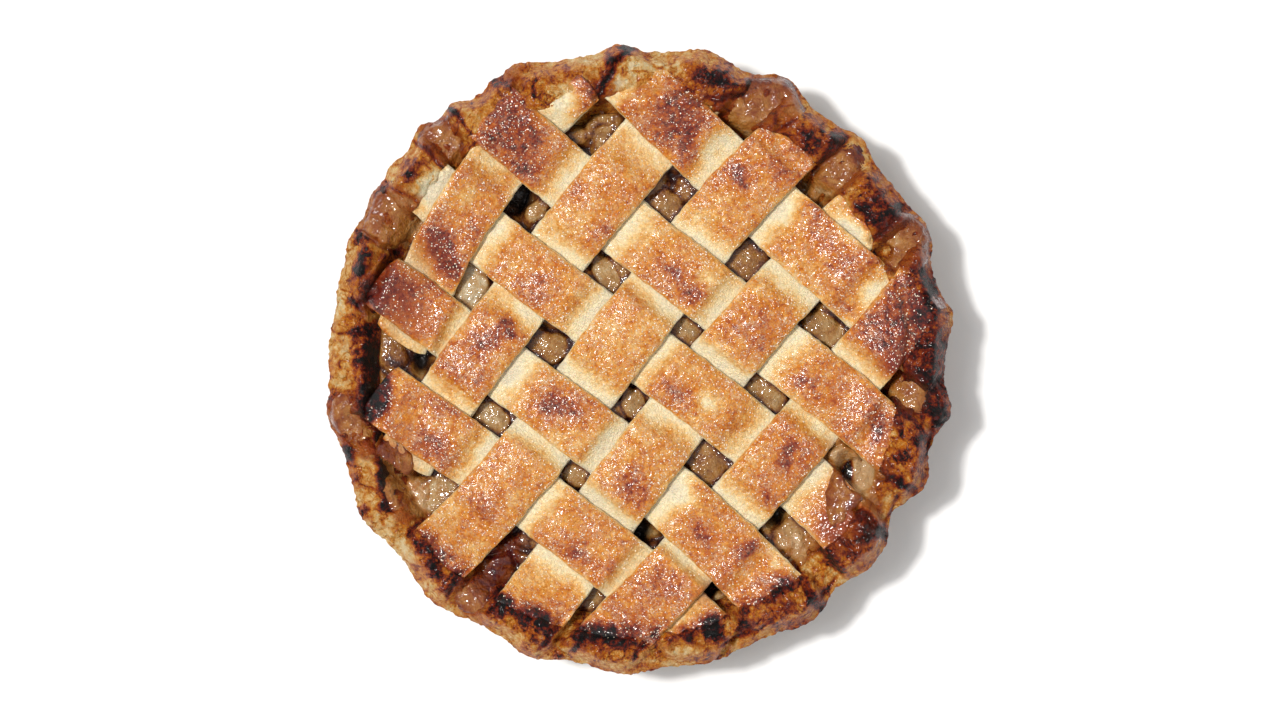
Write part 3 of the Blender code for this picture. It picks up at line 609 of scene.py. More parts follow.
def make_piece(name, points, faces, fields, material, stands_for=()):
    """Make a mesh piece from x, y and z in millimetres, groups of faces and point fields."""
    mesh = bpy.data.meshes.new(name)
    points = np.stack([np.ravel(part) for part in points], axis=-1) * MM
    mesh.vertices.add(len(points))
    mesh.vertices.foreach_set("co", points.astype(np.float32).ravel())
    counts = [np.full(len(group), group.shape[1]) for group in faces]
    corners = [group.ravel() for group in faces]
    counts = np.concatenate(counts).astype(np.int32)
    corners = np.concatenate(corners).astype(np.int32)
    mesh.loops.add(len(corners))
    mesh.loops.foreach_set("vertex_index", corners)
    mesh.polygons.add(len(counts))
    starts = np.concatenate(([0], np.cumsum(counts)[:-1])).astype(np.int32)
    mesh.polygons.foreach_set("loop_start", starts)
    mesh.polygons.foreach_set("loop_total", counts)
    mesh.polygons.foreach_set("use_smooth", np.ones(len(counts), dtype=bool))
    mesh.update(calc_edges=True)
    mesh.validate()
    for field, values in fields.items():
        layer = mesh.attributes.new(field, "FLOAT", "POINT")
        layer.data.foreach_set("value", np.asarray(values, dtype=np.float32).ravel())
    mesh.materials.append(material)
    piece = bpy.data.objects.new(name, mesh)
    bpy.context.scene.collection.objects.link(piece)
    if stands_for:
        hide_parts(*stands_for)
    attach(piece, "root")
    return piece


def ring_quads(rows, columns):
    """Quads between rings of points."""
    row = np.arange(rows - 1)[:, None] * columns
    column = np.arange(columns)[None, :]
    following = (column + 1) % columns
    corners = (row + column, row + following, row + columns + following, row + columns + column)
    return np.stack(corners, axis=-1).reshape(-1, 4)


def skin_faces(rows, columns):
    """Faces of a closed skin of rings: its quads, and a cap on the first and last ring."""
    first = np.arange(columns)[::-1][None, :]
    last = ((rows - 1) * columns + np.arange(columns))[None, :]
    return [ring_quads(rows, columns), first, last]


def linear(colour):
    """Shader colour from an 8-bit display colour."""
    result = []
    for value in colour:
        part = value / 255.0
        result.append(part / 12.92 if part <= 0.04045 else ((part + 0.055) / 1.055) ** 2.4)
    return (result[0], result[1], result[2], 1.0)


def albedo(colour):
    """Surface colour that shows as a display colour where sun and sky both reach it."""
    parts = [max(part - MIRRORED_LEVEL, 0.004) / LIGHT_LEVEL for part in linear(colour)[:3]]
    return (parts[0], parts[1], parts[2], 1.0)


class Nodes:
    """Small helper that makes and joins shader nodes."""

    def __init__(self, name):
        self.material = bpy.data.materials.new(name)
        self.material.use_nodes = True
        self.tree = self.material.node_tree
        self.shader = self.tree.nodes.get("Principled BSDF")

    def feed(self, node, inputs):
        """Give a node's sockets numbers, colours or links to other sockets."""
        for name, value in inputs.items():
            if isinstance(value, (int, float, tuple)):
                node.inputs[name].default_value = value
            else:
                self.tree.links.new(value, node.inputs[name])

    def add(self, kind, inputs=None, **properties):
        """Make a node with its properties and sockets."""
        node = self.tree.nodes.new(kind)
        for key, value in properties.items():
            setattr(node, key, value)
        self.feed(node, inputs or {})
        return node

    def surface(self, inputs):
        """Feed the shader's own sockets, and give the material."""
        self.feed(self.shader, inputs)
        return self.material

    def field(self, name):
        """Value of a point field."""
        return self.add("ShaderNodeAttribute", attribute_name=name).outputs["Fac"]

    def position(self, size):
        """Object coordinates in units of a size in millimetres."""
        factor = 1.0 / (size * MM)
        place = self.add("ShaderNodeTexCoord").outputs["Object"]
        inputs = {"Vector": place, "Scale": (factor, factor, factor)}
        return self.add("ShaderNodeMapping", inputs).outputs["Vector"]

    def noise(self, size, detail=4.0, roughness=0.55, distortion=0.0, output="Fac"):
        """Noise texture with features of a size in millimetres."""
        inputs = {"Vector": self.position(size), "Scale": 1.0, "Detail": detail}
        inputs.update({"Roughness": roughness, "Distortion": distortion})
        return self.add("ShaderNodeTexNoise", inputs).outputs[output]

    def ripple(self, amount, size, detail, roughness, distortion=0.0):
        """Noise that runs from minus to plus half an amount."""
        return self.scaled(self.noise(size, detail, roughness, distortion), amount, -0.5 * amount)

    def cells(self, place, feature):
        """Distance to the nearest scattered point, or to the line between two."""
        inputs = {"Vector": place, "Scale": 1.0}
        return self.add("ShaderNodeTexVoronoi", inputs, feature=feature).outputs["Distance"]

    def cracks(self, size, bend):
        """Distance to the nearest of bent, net-like lines."""
        wave = self.noise(size * 0.6, 3.0, 0.5, output="Color")
        inputs = {0: wave, 1: (bend, bend, bend), 2: self.position(size)}
        bent = self.add("ShaderNodeVectorMath", inputs, operation="MULTIPLY_ADD")
        return self.cells(bent.outputs["Vector"], "DISTANCE_TO_EDGE")

    def network(self, size, width):
        """One on thin, curled lines a size in millimetres apart, zero between them."""
        away = self.math("ABSOLUTE", self.math("SUBTRACT", self.noise(size, 2.0, 0.6, 0.8), 0.5))
        return self.scaled(away, -1.0 / width, 1.0, clamp=True)

    def math(self, operation, *values, clamp=False):
        """Arithmetic on sockets or numbers."""
        inputs = dict(enumerate(values))
        return self.add("ShaderNodeMath", inputs, operation=operation, use_clamp=clamp).outputs["Value"]

    def scaled(self, value, factor, offset, clamp=False):
        """A value times a factor, plus an offset."""
        return self.math("MULTIPLY_ADD", value, factor, offset, clamp=clamp)

    def product(self, first, *others):
        """Product of sockets and numbers."""
        for other in others:
            first = self.math("MULTIPLY", first, other)
        return first

    def ramp(self, value, stops, convert=albedo):
        """Colour ramp from display colours."""
        node = self.add("ShaderNodeValToRGB", {"Fac": value})
        elements = node.color_ramp.elements
        while len(elements) < len(stops):
            elements.new(0.5)
        for element, (place, colour) in zip(elements, stops):
            element.position = place
            element.color = convert(colour)
        return node.outputs["Color"]

    def mix(self, share, first, second, blend="MIX"):
        """Mix two colours."""
        inputs = {0: share, 6: first, 7: second}
        return self.add("ShaderNodeMix", inputs, data_type="RGBA", blend_type=blend).outputs[2]

    def bump(self, height, distance, socket="Normal"):
        """Bump one of the shader's normals by a height, over a distance in millimetres."""
        inputs = {"Strength": 1.0, "Distance": distance * MM, "Height": height}
        self.feed(self.shader, {socket: self.add("ShaderNodeBump", inputs).outputs["Normal"]})


# Display colours of pastry from raw to burnt. Values over 255 make up for the shade that
# the strips throw on each other.
BAKED_COLOURS = (
    (0.0, (248, 234, 204)),
    (0.08, (259, 244, 206)),
    (0.15, (261, 238, 190)),
    (0.25, (257, 213, 145)),
    (0.37, (240, 170, 86)),
    (0.5, (222, 132, 48)),
    (0.62, (190, 96, 34)),
    (0.73, (142, 62, 26)),
    (0.83, (86, 37, 20)),
    (0.92, (50, 27, 24)),
    (1.0, (26, 18, 20)),
)

# Display colours of juice and of apple, from dark to pale
SYRUP_COLOURS = (
    (0.0, (46, 21, 8)),
    (0.25, (96, 47, 16)),
    (0.5, (142, 80, 34)),
    (0.75, (178, 122, 70)),
    (1.0, (202, 166, 124)),
)
FLESH_COLOURS = (
    (0.0, (74, 38, 16)),
    (0.25, (128, 78, 38)),
    (0.5, (172, 122, 68)),
    (0.75, (194, 156, 106)),
    (1.0, (218, 200, 166)),
)
MELTED_SUGAR = (252, 224, 190)
SOAKED_TINT = (200, 140, 104)
# Near-black colour for dark syrup in the grooves and for painted shade in the steam hollows and beside the
# strips
SHADE_AND_SYRUP_COLOUR = (22, 15, 12)


def pastry_material(name, speckle, gloss, flaky):
    """Baked pastry: browning and soaking read from point fields, with fine mottling."""
    nodes = Nodes(name)
    bake = nodes.field("bake")
    wet = nodes.field("wet")
    dry = nodes.scaled(wet, -0.8, 1.0, clamp=True)
    change = nodes.math("ADD", nodes.ripple(0.5, 4.6, 3.0, 0.6), nodes.ripple(0.7, 1.9, 3.0, 0.62))
    change = nodes.math("ADD", change, nodes.ripple(0.3, 0.8, 2.0, 0.6))
    weight = nodes.product(nodes.scaled(bake, 2.4, 0.05, clamp=True), dry)
    level = nodes.math("MULTIPLY_ADD", nodes.product(change, 0.75 + 0.25 * flaky), weight, bake)
    split = nodes.scaled(nodes.cracks(5.0, 1.6), -9.0, 1.0, clamp=True)
    split = nodes.product(split, nodes.scaled(nodes.noise(6.0), 5.0, -2.1, clamp=True), flaky)
    baked = nodes.ramp(nodes.math("MULTIPLY_ADD", split, 0.2, level, clamp=True), BAKED_COLOURS)
    dots = nodes.math("SUBTRACT", 0.42, nodes.cells(nodes.position(1.0), "F1"))
    dots = nodes.math("MULTIPLY", dots, 3.4, clamp=True)
    lines = nodes.math("MAXIMUM", nodes.network(1.5, 0.07), nodes.product(dots, 0.6))
    patchy = nodes.scaled(nodes.noise(4.0, 3.0, 0.6), 3.4, -1.2, clamp=True)
    browned = nodes.scaled(bake, 5.0, -0.8, clamp=True)
    unburnt = nodes.scaled(bake, -4.5, 3.6, clamp=True)
    sugar = nodes.product(lines, patchy, browned, dry, speckle, unburnt)
    sugared = nodes.mix(sugar, baked, albedo(MELTED_SUGAR))
    soaked = nodes.mix(wet, sugared, linear(SOAKED_TINT), "MULTIPLY")
    syrup = nodes.ramp(nodes.noise(5.0, 3.0, 0.6), SYRUP_COLOURS)
    stained = nodes.product(nodes.scaled(wet, 2.6, -1.8, clamp=True), 0.4)
    glaze = nodes.product(nodes.scaled(bake, 2.0, -0.1, clamp=True), gloss)
    height = nodes.math("ADD", nodes.noise(0.8, 3.0, 0.65), nodes.noise(2.4, 3.0, 0.6))
    height = nodes.math("ADD", height, nodes.product(lines, 0.3))
    layers = nodes.product(nodes.noise(1.6, 4.0, 0.75), flaky * 1.6)
    height = nodes.math("ADD", height, nodes.math("SUBTRACT", layers, split))
    nodes.bump(height, 0.6 + 0.4 * flaky)
    nodes.bump(nodes.noise(1.8, 1.5, 0.55, 0.5), 0.6, "Coat Normal")
    return nodes.surface({
        "Base Color": nodes.mix(stained, soaked, syrup),
        "Roughness": nodes.scaled(wet, -0.2, 0.5),
        "Specular IOR Level": 0.18,
        "Subsurface Weight": 0.1,
        "Subsurface Radius": (1.0, 0.5, 0.25),
        "Subsurface Scale": 0.001,
        "Coat Weight": nodes.math("MULTIPLY_ADD", wet, 0.5 - 0.25 * flaky, glaze),
        "Coat Roughness": 0.12,
    })


def filling_material():
    """Soft apple flesh in brown syrup, with painted shade in the steam hollows and beside the strips."""
    nodes = Nodes("apple_filling")
    change = nodes.math("ADD", nodes.ripple(0.9, 5.0, 3.0, 0.6), nodes.ripple(0.6, 1.0, 3.0, 0.7))
    level = nodes.math("ADD", nodes.field("flesh"), change, clamp=True)
    # A point field of dark syrup and painted shade darkens the flesh towards a near-black colour
    colour = nodes.mix(nodes.field("syrup_and_shade"), nodes.ramp(level, FLESH_COLOURS), linear(SHADE_AND_SYRUP_COLOUR))
    nodes.bump(nodes.math("ADD", nodes.noise(1.0, 3.0, 0.6), nodes.noise(3.0, 2.0, 0.6)), 0.9)
    nodes.bump(nodes.noise(2.6, 1.5, 0.5, 0.9), 0.9, "Coat Normal")
    return nodes.surface({
        "Base Color": colour,
        "Roughness": 0.4,
        "Specular IOR Level": 0.2,
        "Subsurface Weight": 0.15,
        "Subsurface Radius": (1.0, 0.6, 0.3),
        "Subsurface Scale": 0.0015,
        "Coat Weight": 1.0,
        "Coat Roughness": 0.08,
    })


def juice_material():
    """Thick boiled apple juice, brown and glossy."""
    nodes = Nodes("boiled_juice")
    change = nodes.math("ADD", nodes.ripple(1.0, 6.5, 4.0, 0.6, 0.8), nodes.ripple(0.2, 1.2, 3.0, 0.6))
    level = nodes.math("ADD", nodes.field("pale"), change, clamp=True)
    nodes.bump(nodes.math("ADD", nodes.noise(1.2, 3.0, 0.6), nodes.noise(3.0, 2.0, 0.55)), 1.0)
    nodes.bump(nodes.noise(3.6, 1.5, 0.5, 1.2), 1.1, "Coat Normal")
    return nodes.surface({
        "Base Color": nodes.ramp(level, SYRUP_COLOURS),
        "Roughness": 0.35,
        "Specular IOR Level": 0.1,
        "Subsurface Weight": 0.2,
        "Subsurface Radius": (1.0, 0.45, 0.2),
        "Subsurface Scale": 0.0015,
        "Coat Weight": 1.0,
        "Coat Roughness": 0.07,
    })


def plain_material(name, size, first, second, convert, inputs):
    """Material whose colour drifts between two display colours."""
    nodes = Nodes(name)
    drift = nodes.ramp(nodes.noise(size), (first, second), convert)
    return nodes.surface({"Base Color": drift, **inputs})


def sugar_material():
    """Coarse sugar, partly melted into the glaze."""
    first = (0.35, (255, 246, 230))
    second = (0.65, (255, 228, 194))
    inputs = {"Roughness": 0.3, "Specular IOR Level": 0.5}
    return plain_material("sugar_crystals", 3.0, first, second, albedo, inputs)


def glass_material():
    """Clear dish glass with a faint green tint."""
    first = (0.3, (250, 253, 251))
    second = (0.7, (246, 251, 248))
    inputs = {"Roughness": 0.03, "IOR": 1.47, "Transmission Weight": 1.0}
    return plain_material("dish_glass", 60.0, first, second, linear, inputs)


def floor_material():
    """Plain white ground."""
    first = (0.3, (250, 250, 250))
    second = (0.7, (252, 252, 252))
    return plain_material("white_ground", 400.0, first, second, linear, {"Roughness": 0.9})


def strip_reach(strip, sideways, sign, stop):
    """Where a strip ends for each line along it: its own end, the rim or a neighbour."""
    near = np.full(sideways.shape, strip.middle)
    far = np.full(sideways.shape, strip.high_end if sign > 0 else strip.low_end)
    for _ in range(BISECTIONS):
        middle = 0.5 * (near + far)
        x, y = strip_place(strip, middle, sideways)
        angle, radius = polar(x, y)
        blocked = radius > rim_outline(angle) - 2.0
        if stop is not None:
            blocked |= beside_strip(stop, x, y)[0] < 0.3
        far = np.where(blocked, middle, far)
        near = np.where(blocked, near, middle)
    return near


def strip_bake(x, y, z, cover, across, level, angle, radius, seed):
    """Browning of the lattice top."""
    shade = smooth_step((cover + 2.2 * layered_noise(x, y, 0.0, 7.0, seed, 2)) / 10.0)
    base = 0.09 + 0.27 * shade
    base += 0.1 * ease(level, -0.2, 1.2)
    base += 0.16 * layered_noise(x, y, 0.0, 15.0, seed + 5)
    ragged = 0.8 + 0.9 * layered_noise(x, y, 0.0, 6.0, seed + 7, 3)
    base += 1.2 * patch_sum(x, y, PATCHES) * ragged
    base -= 0.08 * smooth_step((np.abs(across) - 0.86) / 0.14)
    base += 0.05 * ease(radius, 50.0, 40.0)
    base = base + 0.1 * ease(radius, 94.0, 12.0) + rim_tone(angle, radius)
    base += 0.06 * rim_folds(x, y, angle, radius)
    start = RIM_START - 7.5 * np.exp(-(turn_between(angle, 186.0) / 9.0) ** 2)
    burn = burn_level(scorch_at(angle, radius)[1], x, y, z) * smooth_step((radius - start) / 5.0)
    base = np.clip(base, 0.0, HIGHEST_LATTICE_BAKE)
    return base + (BURNT - base) * burn


def strip_section():
    """Cross-section of a strip: places across from -1 to 1, and down from 0 to 1."""
    across = np.sin(np.linspace(-0.5, 0.5, STRIP_TOP_POINTS) * math.pi * 0.92)
    across = across / across[-1]
    side = np.linspace(0.0, 1.0, STRIP_SIDE_POINTS + 2)[1:-1]
    edge = np.ones(STRIP_SIDE_POINTS)
    place_across = np.concatenate((across, edge, (1.0, 0.0, -1.0), -edge))
    place_down = np.concatenate((np.zeros(STRIP_TOP_POINTS), side, (1.0, 1.0, 1.0), side[::-1]))
    return place_across, place_down


def strip_thickness(x, y, angle, radius, over, across, seed):
    """Thickness of a strip: puffed where it lies on top, sunk where it melts into the rim."""
    thickness = STRIP_THICKNESS + 1.1 * over * (1.0 - across ** 2) ** 0.7 - 0.75 * np.abs(across) ** 9
    soft = layered_noise(x, y, 0.0, 13.0, seed + 4, 2)
    blister = layered_noise(x, y, 0.0, 4.2, seed + 6, 3)
    thickness = thickness + over * 0.5 * soft + 0.34 * blister * (0.4 + 0.6 * over)
    rim_part = ease(radius, RIM_START, RIM_RUN)
    sunk = smooth_step((radius - 108.5 + 2.5 * across ** 4) / 3.5)
    thickness += scorch_at(angle, radius)[0] * rim_part * (1.0 - sunk)
    thickness = thickness + 0.8 * rim_folds(x, y, angle, radius) * (1.0 - sunk) - 2.6 * sunk
    return np.maximum(thickness - crease_at(x, y) * rim_part * (1.0 - sunk), 0.3)


def strip_grid(strip, stop):
    """Places along, across and down on a strip's skin, and the distance to its nearer end."""
    place_across, place_down = strip_section()
    half = strip_half_width(strip, strip.middle)
    rounding = 1.8 * np.abs(place_across) ** 4
    low = strip_reach(strip, place_across * half, -1, None) + rounding
    high = strip_reach(strip, place_across * half, 1, stop) - rounding
    rows = int((high - low).max() / STRIP_STEP)
    along = low + np.linspace(0.0, 1.0, rows)[:, None] * (high - low)
    across = np.broadcast_to(place_across, along.shape)
    down = np.broadcast_to(place_down, along.shape)
    return along, across, down, np.minimum(along - low, high - along)


def strip_plan(strip, along, across, down, seed):
    """Plan places of a strip's skin, with wavy sides and flaked edges."""
    side_sign = np.sign(across)
    waver = 0.75 * layered_noise(along, side_sign * 50.0, 0.0, 11.0, seed + 2)
    flake = 0.25 * noise(along, side_sign * 50.0, down * 6.0, 2.2, seed + 3)
    bulge = 0.45 * np.sin(down * math.pi) - 0.5 * down ** 2
    at_side = np.abs(across) > 0.999
    sideways = across * (strip_half_width(strip, along) + waver)
    return strip_place(strip, along, sideways + side_sign * np.where(at_side, bulge + flake, 0.0))


def build_strip(family, index, strip, others, seed, stop=None):
    """One detailed lattice strip; gives its top points, cover and browning for the sugar."""
    along, across, down, ends = strip_grid(strip, stop)
    x, y = strip_plan(strip, along, across, down, seed)
    angle, radius = polar(x, y)
    level, cover = weave(index, others, family == "a", x, y)
    under = lattice_middle(radius) + 0.5 * level * (STRIP_THICKNESS + STRIP_GAP) - 0.5 * STRIP_THICKNESS
    thickness = strip_thickness(x, y, angle, radius, ease(level, -0.1, 1.1), across, seed)
    on_rim = ease(radius, 108.0, 6.0)
    dive = on_rim * (1.0 - ease(rim_outline(angle) - radius, 2.0, 7.0)) * 5.6
    dive += (1.0 - smooth_step(ends / 3.0)) * 1.2 * (1.0 - on_rim)
    z = under + (1.0 - down) * thickness - dive
    bake = strip_bake(x, y, z, cover, across, level, angle, radius, seed)
    cut_face = smooth_step(down * 5.0) * (1.0 - 0.9 * ease(radius, RIM_START, RIM_RUN))
    bake = bake * (1.0 - 0.62 * cut_face) + 0.05 * cut_face
    fields = {"bake": np.clip(bake, 0.0, 1.0), "wet": soaking(x, y)}
    faces = skin_faces(*x.shape)
    name = family + str(index)
    make_piece(
        "lattice_" + name, (x, y, z), faces, fields, LATTICE_PASTRY, ("strip_" + name,)
    )
    on_top = np.s_[:, :STRIP_TOP_POINTS]
    return np.stack((x, y, z), axis=-1)[on_top], cover[on_top], bake[on_top]


def strip_cover(x, y, angle, radius):
    """Share from 0 to 1 by which a strip's end has melted into the rim."""
    share = np.zeros(x.shape)
    wander = layered_noise(x, y, 0.0, 9.0, 107, 2)
    for strip in ALL_STRIPS:
        edge = beside_strip(strip, x, y)[0]
        share = np.maximum(share, smooth_step((3.0 - edge + 1.6 * wander) / 4.2))
    start = smooth_step((radius - 105.0 + 4.0 * wander) / 4.0)
    end = 1.0 - smooth_step((radius - rim_outline(angle) + 6.0 + 2.0 * wander) / 6.0)
    return share * start * end


def rim_cracks(x, y):
    """One along the fine cracks of the rim, zero between them."""
    return 1.0 - smooth_step(np.abs(layered_noise(x, y, 0.0, 5.5, 41, 2)) / 0.09)


def crust_top_detail(x, y, angle, radius):
    """Height of the detailed rim top: melted strip ends, folds, lumps and creases."""
    height = rim_top(angle, radius)
    strip_top = lattice_middle(radius) - 0.5 * STRIP_GAP + 0.8
    height += strip_cover(x, y, angle, radius) * (strip_top - height)
    height = height + 1.7 * scorch_at(angle, radius)[0] + rim_folds(x, y, angle, radius)
    height -= 0.7 * crease_at(x, y)
    return height - 0.6 * rim_cracks(x, y)


def crust_rings(angle):
    """Rings of the crust from its underside round the rim to its floor: radius, height, top."""
    outline = rim_outline(angle)
    outline = outline + 0.5 + 0.7 * layered_noise(angle * 2.1, 0.0, 0.0, 5.0, 51, 4)
    underside = (
        (1.0, DISH_FLOOR - INTO_GLASS),
        (40.0, DISH_FLOOR - INTO_GLASS),
        (DISH_BASE_RADIUS - 5.6, DISH_FLOOR - INTO_GLASS),
        (DISH_BASE_RADIUS - 3.0, DISH_FLOOR + 0.4 - INTO_GLASS),
        (DISH_BASE_RADIUS - 0.3, DISH_FLOOR + 2.1),
        (DISH_BASE_RADIUS + 5.0, DISH_FLOOR + 9.6),
        (DISH_BASE_RADIUS + 10.4, DISH_FLOOR + 17.2),
        (DISH_BASE_RADIUS + 15.8, DISH_FLOOR + 24.8),
        (DISH_MOUTH_RADIUS - 1.9, DISH_HEIGHT - 3.2),
        (DISH_MOUTH_RADIUS + 0.1, DISH_HEIGHT - 0.9),
        (DISH_MOUTH_RADIUS + 2.1, DISH_HEIGHT - INTO_GLASS),
        (DISH_RIM_RADIUS - 1.3, DISH_HEIGHT - INTO_GLASS),
        (DISH_RIM_RADIUS + 0.3, DISH_HEIGHT - 0.6),
    )
    rings = [(radius, height, 0.0) for radius, height in underside]
    droop = np.clip((outline - DISH_RIM_RADIUS - 1.6) * 0.45, 0.0, 4.0)
    low = RIM_LIP_HEIGHT - 1.9 - droop
    high = crust_top_detail(*plan(angle, outline), angle, outline) - 1.1 - 0.5 * droop
    lip_radius = np.maximum(outline - 1.3, DISH_RIM_RADIUS + 0.4)
    for part in np.linspace(0.0, 1.0, LIP_RINGS):
        swell = math.sin(part * math.pi * 0.5)
        flake = 0.45 * noise(angle * 1.6, part * 4.2, 0.0, 1.0, 53)
        radius = lip_radius + (outline - lip_radius) * swell + flake
        rings.append((radius, low + (high - low) * part, smooth_step(part)))
    for part in np.linspace(0.97, 0.0, OUTER_RIM_RINGS):
        radius = RIM_CREST_RADIUS + part * (outline - RIM_CREST_RADIUS)
        edge_fall = 0.5 * droop * part ** 6 + 1.1 * part ** 8
        rings.append((radius, crust_top_detail(*plan(angle, radius), angle, radius) - edge_fall, 1.0))
    for part in np.linspace(0.95, 0.0, INNER_RIM_RINGS):
        radius = np.full(angle.shape, RIM_INNER_RADIUS + part * (RIM_CREST_RADIUS - RIM_INNER_RADIUS))
        rings.append((radius, crust_top_detail(*plan(angle, radius), angle, radius), 1.0))
    inside = (
        (100.6, 35.0),
        (97.5, 31.0),
        (90.0, 21.0),
        (CRUST_FLOOR_RADIUS + 2.0, CRUST_FLOOR_TOP + 1.6),
        (CRUST_FLOOR_RADIUS - 1.0, CRUST_FLOOR_TOP),
        (40.0, CRUST_FLOOR_TOP),
        (1.0, CRUST_FLOOR_TOP),
    )
    return rings + [(radius, height, 0.5) for radius, height in inside]


def build_crust():
    """Detailed bottom crust and fluted rim, closed from the dish floor to its own floor."""
    angle = np.linspace(0.0, 360.0, CRUST_COLUMNS, endpoint=False)[None, :]
    rings = crust_rings(angle)
    radius = np.concatenate([np.broadcast_to(ring[0], angle.shape) for ring in rings])
    z = np.concatenate([np.broadcast_to(ring[1], angle.shape) for ring in rings])
    top = np.array([ring[2] for ring in rings])[:, None]
    x, y = plan(angle, radius)
    angles = np.broadcast_to(angle, radius.shape)
    low_part = np.clip((44.0 - z) / 6.0, 0.0, 1.0)
    bake = 0.52 - 0.05 * low_part + 0.2 * layered_noise(x, y, z, 6.5, 61, 3)
    melted = strip_cover(x, y, angles, radius) * top
    bake += 0.75 * melted * (0.45 + 0.2 * layered_noise(x, y, z, 9.0, 63, 2) - bake)
    bake = bake + 0.04 * np.cos(np.radians(angles + 20.0)) + rim_tone(angles, radius)
    # The fold lumps are browner, and the creases between folded pieces are painted darker as shade
    bake = bake + 0.08 * rim_folds(x, y, angles, radius) + 0.2 * crease_at(x, y)
    bake += 0.25 * rim_cracks(x, y) * top
    bake = np.clip(bake * (0.62 + 0.38 * smooth_step(top * 2.5)), 0.08, HIGHEST_RIM_BAKE)
    bake = np.maximum(bake, 0.26 * smooth_step(top * 1.5 - 0.5) * (1.0 - melted))
    burn = burn_level(scorch_at(angles, radius)[1], x, y, z) * top
    bake += (BURNT - bake) * burn
    under_juice = smooth_step(juice_field(x, y, angles, radius) * 2.0 + 0.5) * top
    wet = 0.8 * np.maximum(soaking(x, y), under_juice)
    fields = {"bake": np.clip(bake, 0.0, 1.0), "wet": np.clip(wet, 0.0, 1.0)}
    faces = skin_faces(len(rings), CRUST_COLUMNS)
    make_piece("pie_crust", (x, y, z), faces, fields, CRUST_PASTRY, ("crust",))


def slice_pattern(x, y):
    """Apple pieces packed side by side: distance, groove between them, tilt and tone."""
    first = np.full(x.shape, FAR_AWAY)
    second = np.full(x.shape, FAR_AWAY)
    tilt = np.zeros(x.shape)
    tone = np.zeros(x.shape)
    cell_x = np.floor(x / SLICE_SPACING).astype(np.int64)
    cell_y = np.floor(y / SLICE_SPACING).astype(np.int64)
    for step_x in (-1, 0, 1):
        for step_y in (-1, 0, 1):
            i = cell_x + step_x
            j = cell_y + step_y
            centre_x = (i + 0.15 + 0.7 * hashed(i, j, 0, 71)) * SLICE_SPACING
            centre_y = (j + 0.15 + 0.7 * hashed(i, j, 1, 71)) * SLICE_SPACING
            turn = hashed(i, j, 2, 71) * TAU
            long_way = (x - centre_x) * np.cos(turn) + (y - centre_y) * np.sin(turn)
            short_way = (y - centre_y) * np.cos(turn) - (x - centre_x) * np.sin(turn)
            away = np.sqrt((long_way * 0.72) ** 2 + (short_way * 1.2) ** 2)
            nearer = away < first
            second = np.where(nearer, first, np.minimum(second, away))
            first = np.where(nearer, away, first)
            slope = (hashed(i, j, 3, 71) - 0.5) * 0.35
            tilt = np.where(nearer, slope * long_way, tilt)
            tone = np.where(nearer, hashed(i, j, 4, 71), tone)
    return first, 1.0 - smooth_step((second - first) / 3.2), tilt, tone


def filling_surface(x, y):
    """Height, flesh tone and darkening of the apple pieces in their syrup: dark syrup in the grooves, and
    painted shade in the steam hollows and beside the strips.
    """
    radius = np.hypot(x, y)
    ceiling = dome_height(np.minimum(radius, 96.0)) - STRIP_THICKNESS - 1.6
    away, groove, tilt, tone = slice_pattern(x, y)
    height = ceiling - 0.014 * away ** 2 + tilt * 0.6 - 2.6 * groove
    height += 0.35 * layered_noise(x, y, 0.0, 5.0, 73, 3)
    depth = np.zeros(x.shape)
    for *oval, amount in PITS:
        depth = np.maximum(depth, amount * np.exp(-oval_distance(x, y, *oval) ** 1.5))
    height -= depth
    edge = ease(radius, 95.0, 6.0)
    height = height * (1.0 - edge) + edge * np.minimum(height, 37.2)
    flesh = 0.3 + 0.4 * tone - 0.35 * groove
    waver = 0.08 * noise(x, y, 0.0, 4.0, 75)
    dimples = 0.2 * layered_noise(x, y, 0.0, 4.0, 77, 2)
    for *oval, rise, pale in SLICES:
        away = np.sqrt(oval_distance(x, y, *oval)) + waver
        share = smooth_step((1.06 - away) / 0.16)
        crown = ceiling + rise * (1.0 - 0.5 * away ** 2) - 1.6 + dimples
        height += share * (crown - height)
        flesh += share * (0.55 + 0.5 * pale - flesh)
        flesh -= 0.35 * np.exp(-((away - 1.08) / 0.1) ** 2)
        depth = depth * (1.0 - 0.85 * share)
    flesh -= patch_sum(x, y, DARK_SYRUP)
    # Beside the strips the syrup rises a little as a meniscus, and the flesh is painted darker as shade
    # under the strip edges
    shore = np.full(x.shape, FAR_AWAY)
    for strip in ALL_STRIPS:
        shore = np.minimum(shore, np.abs(beside_strip(strip, x, y)[0]))
    meniscus_and_shade = 1.0 - smooth_step((shore + 0.8 * noise(x, y, 0.0, 3.0, 79)) / 2.4)
    flesh -= 0.4 * meniscus_and_shade
    height += 0.5 * meniscus_and_shade
    # Painted shade that grows with the depth of each steam hollow and beside the strips, plus dark syrup in
    # the grooves
    syrup_and_shade = np.clip(depth / 7.0, 0.0, 1.0) * 0.95 + 0.2 * groove + 0.15 * meniscus_and_shade
    return height, np.clip(flesh, 0.0, 1.0), np.clip(syrup_and_shade, 0.0, 1.0)


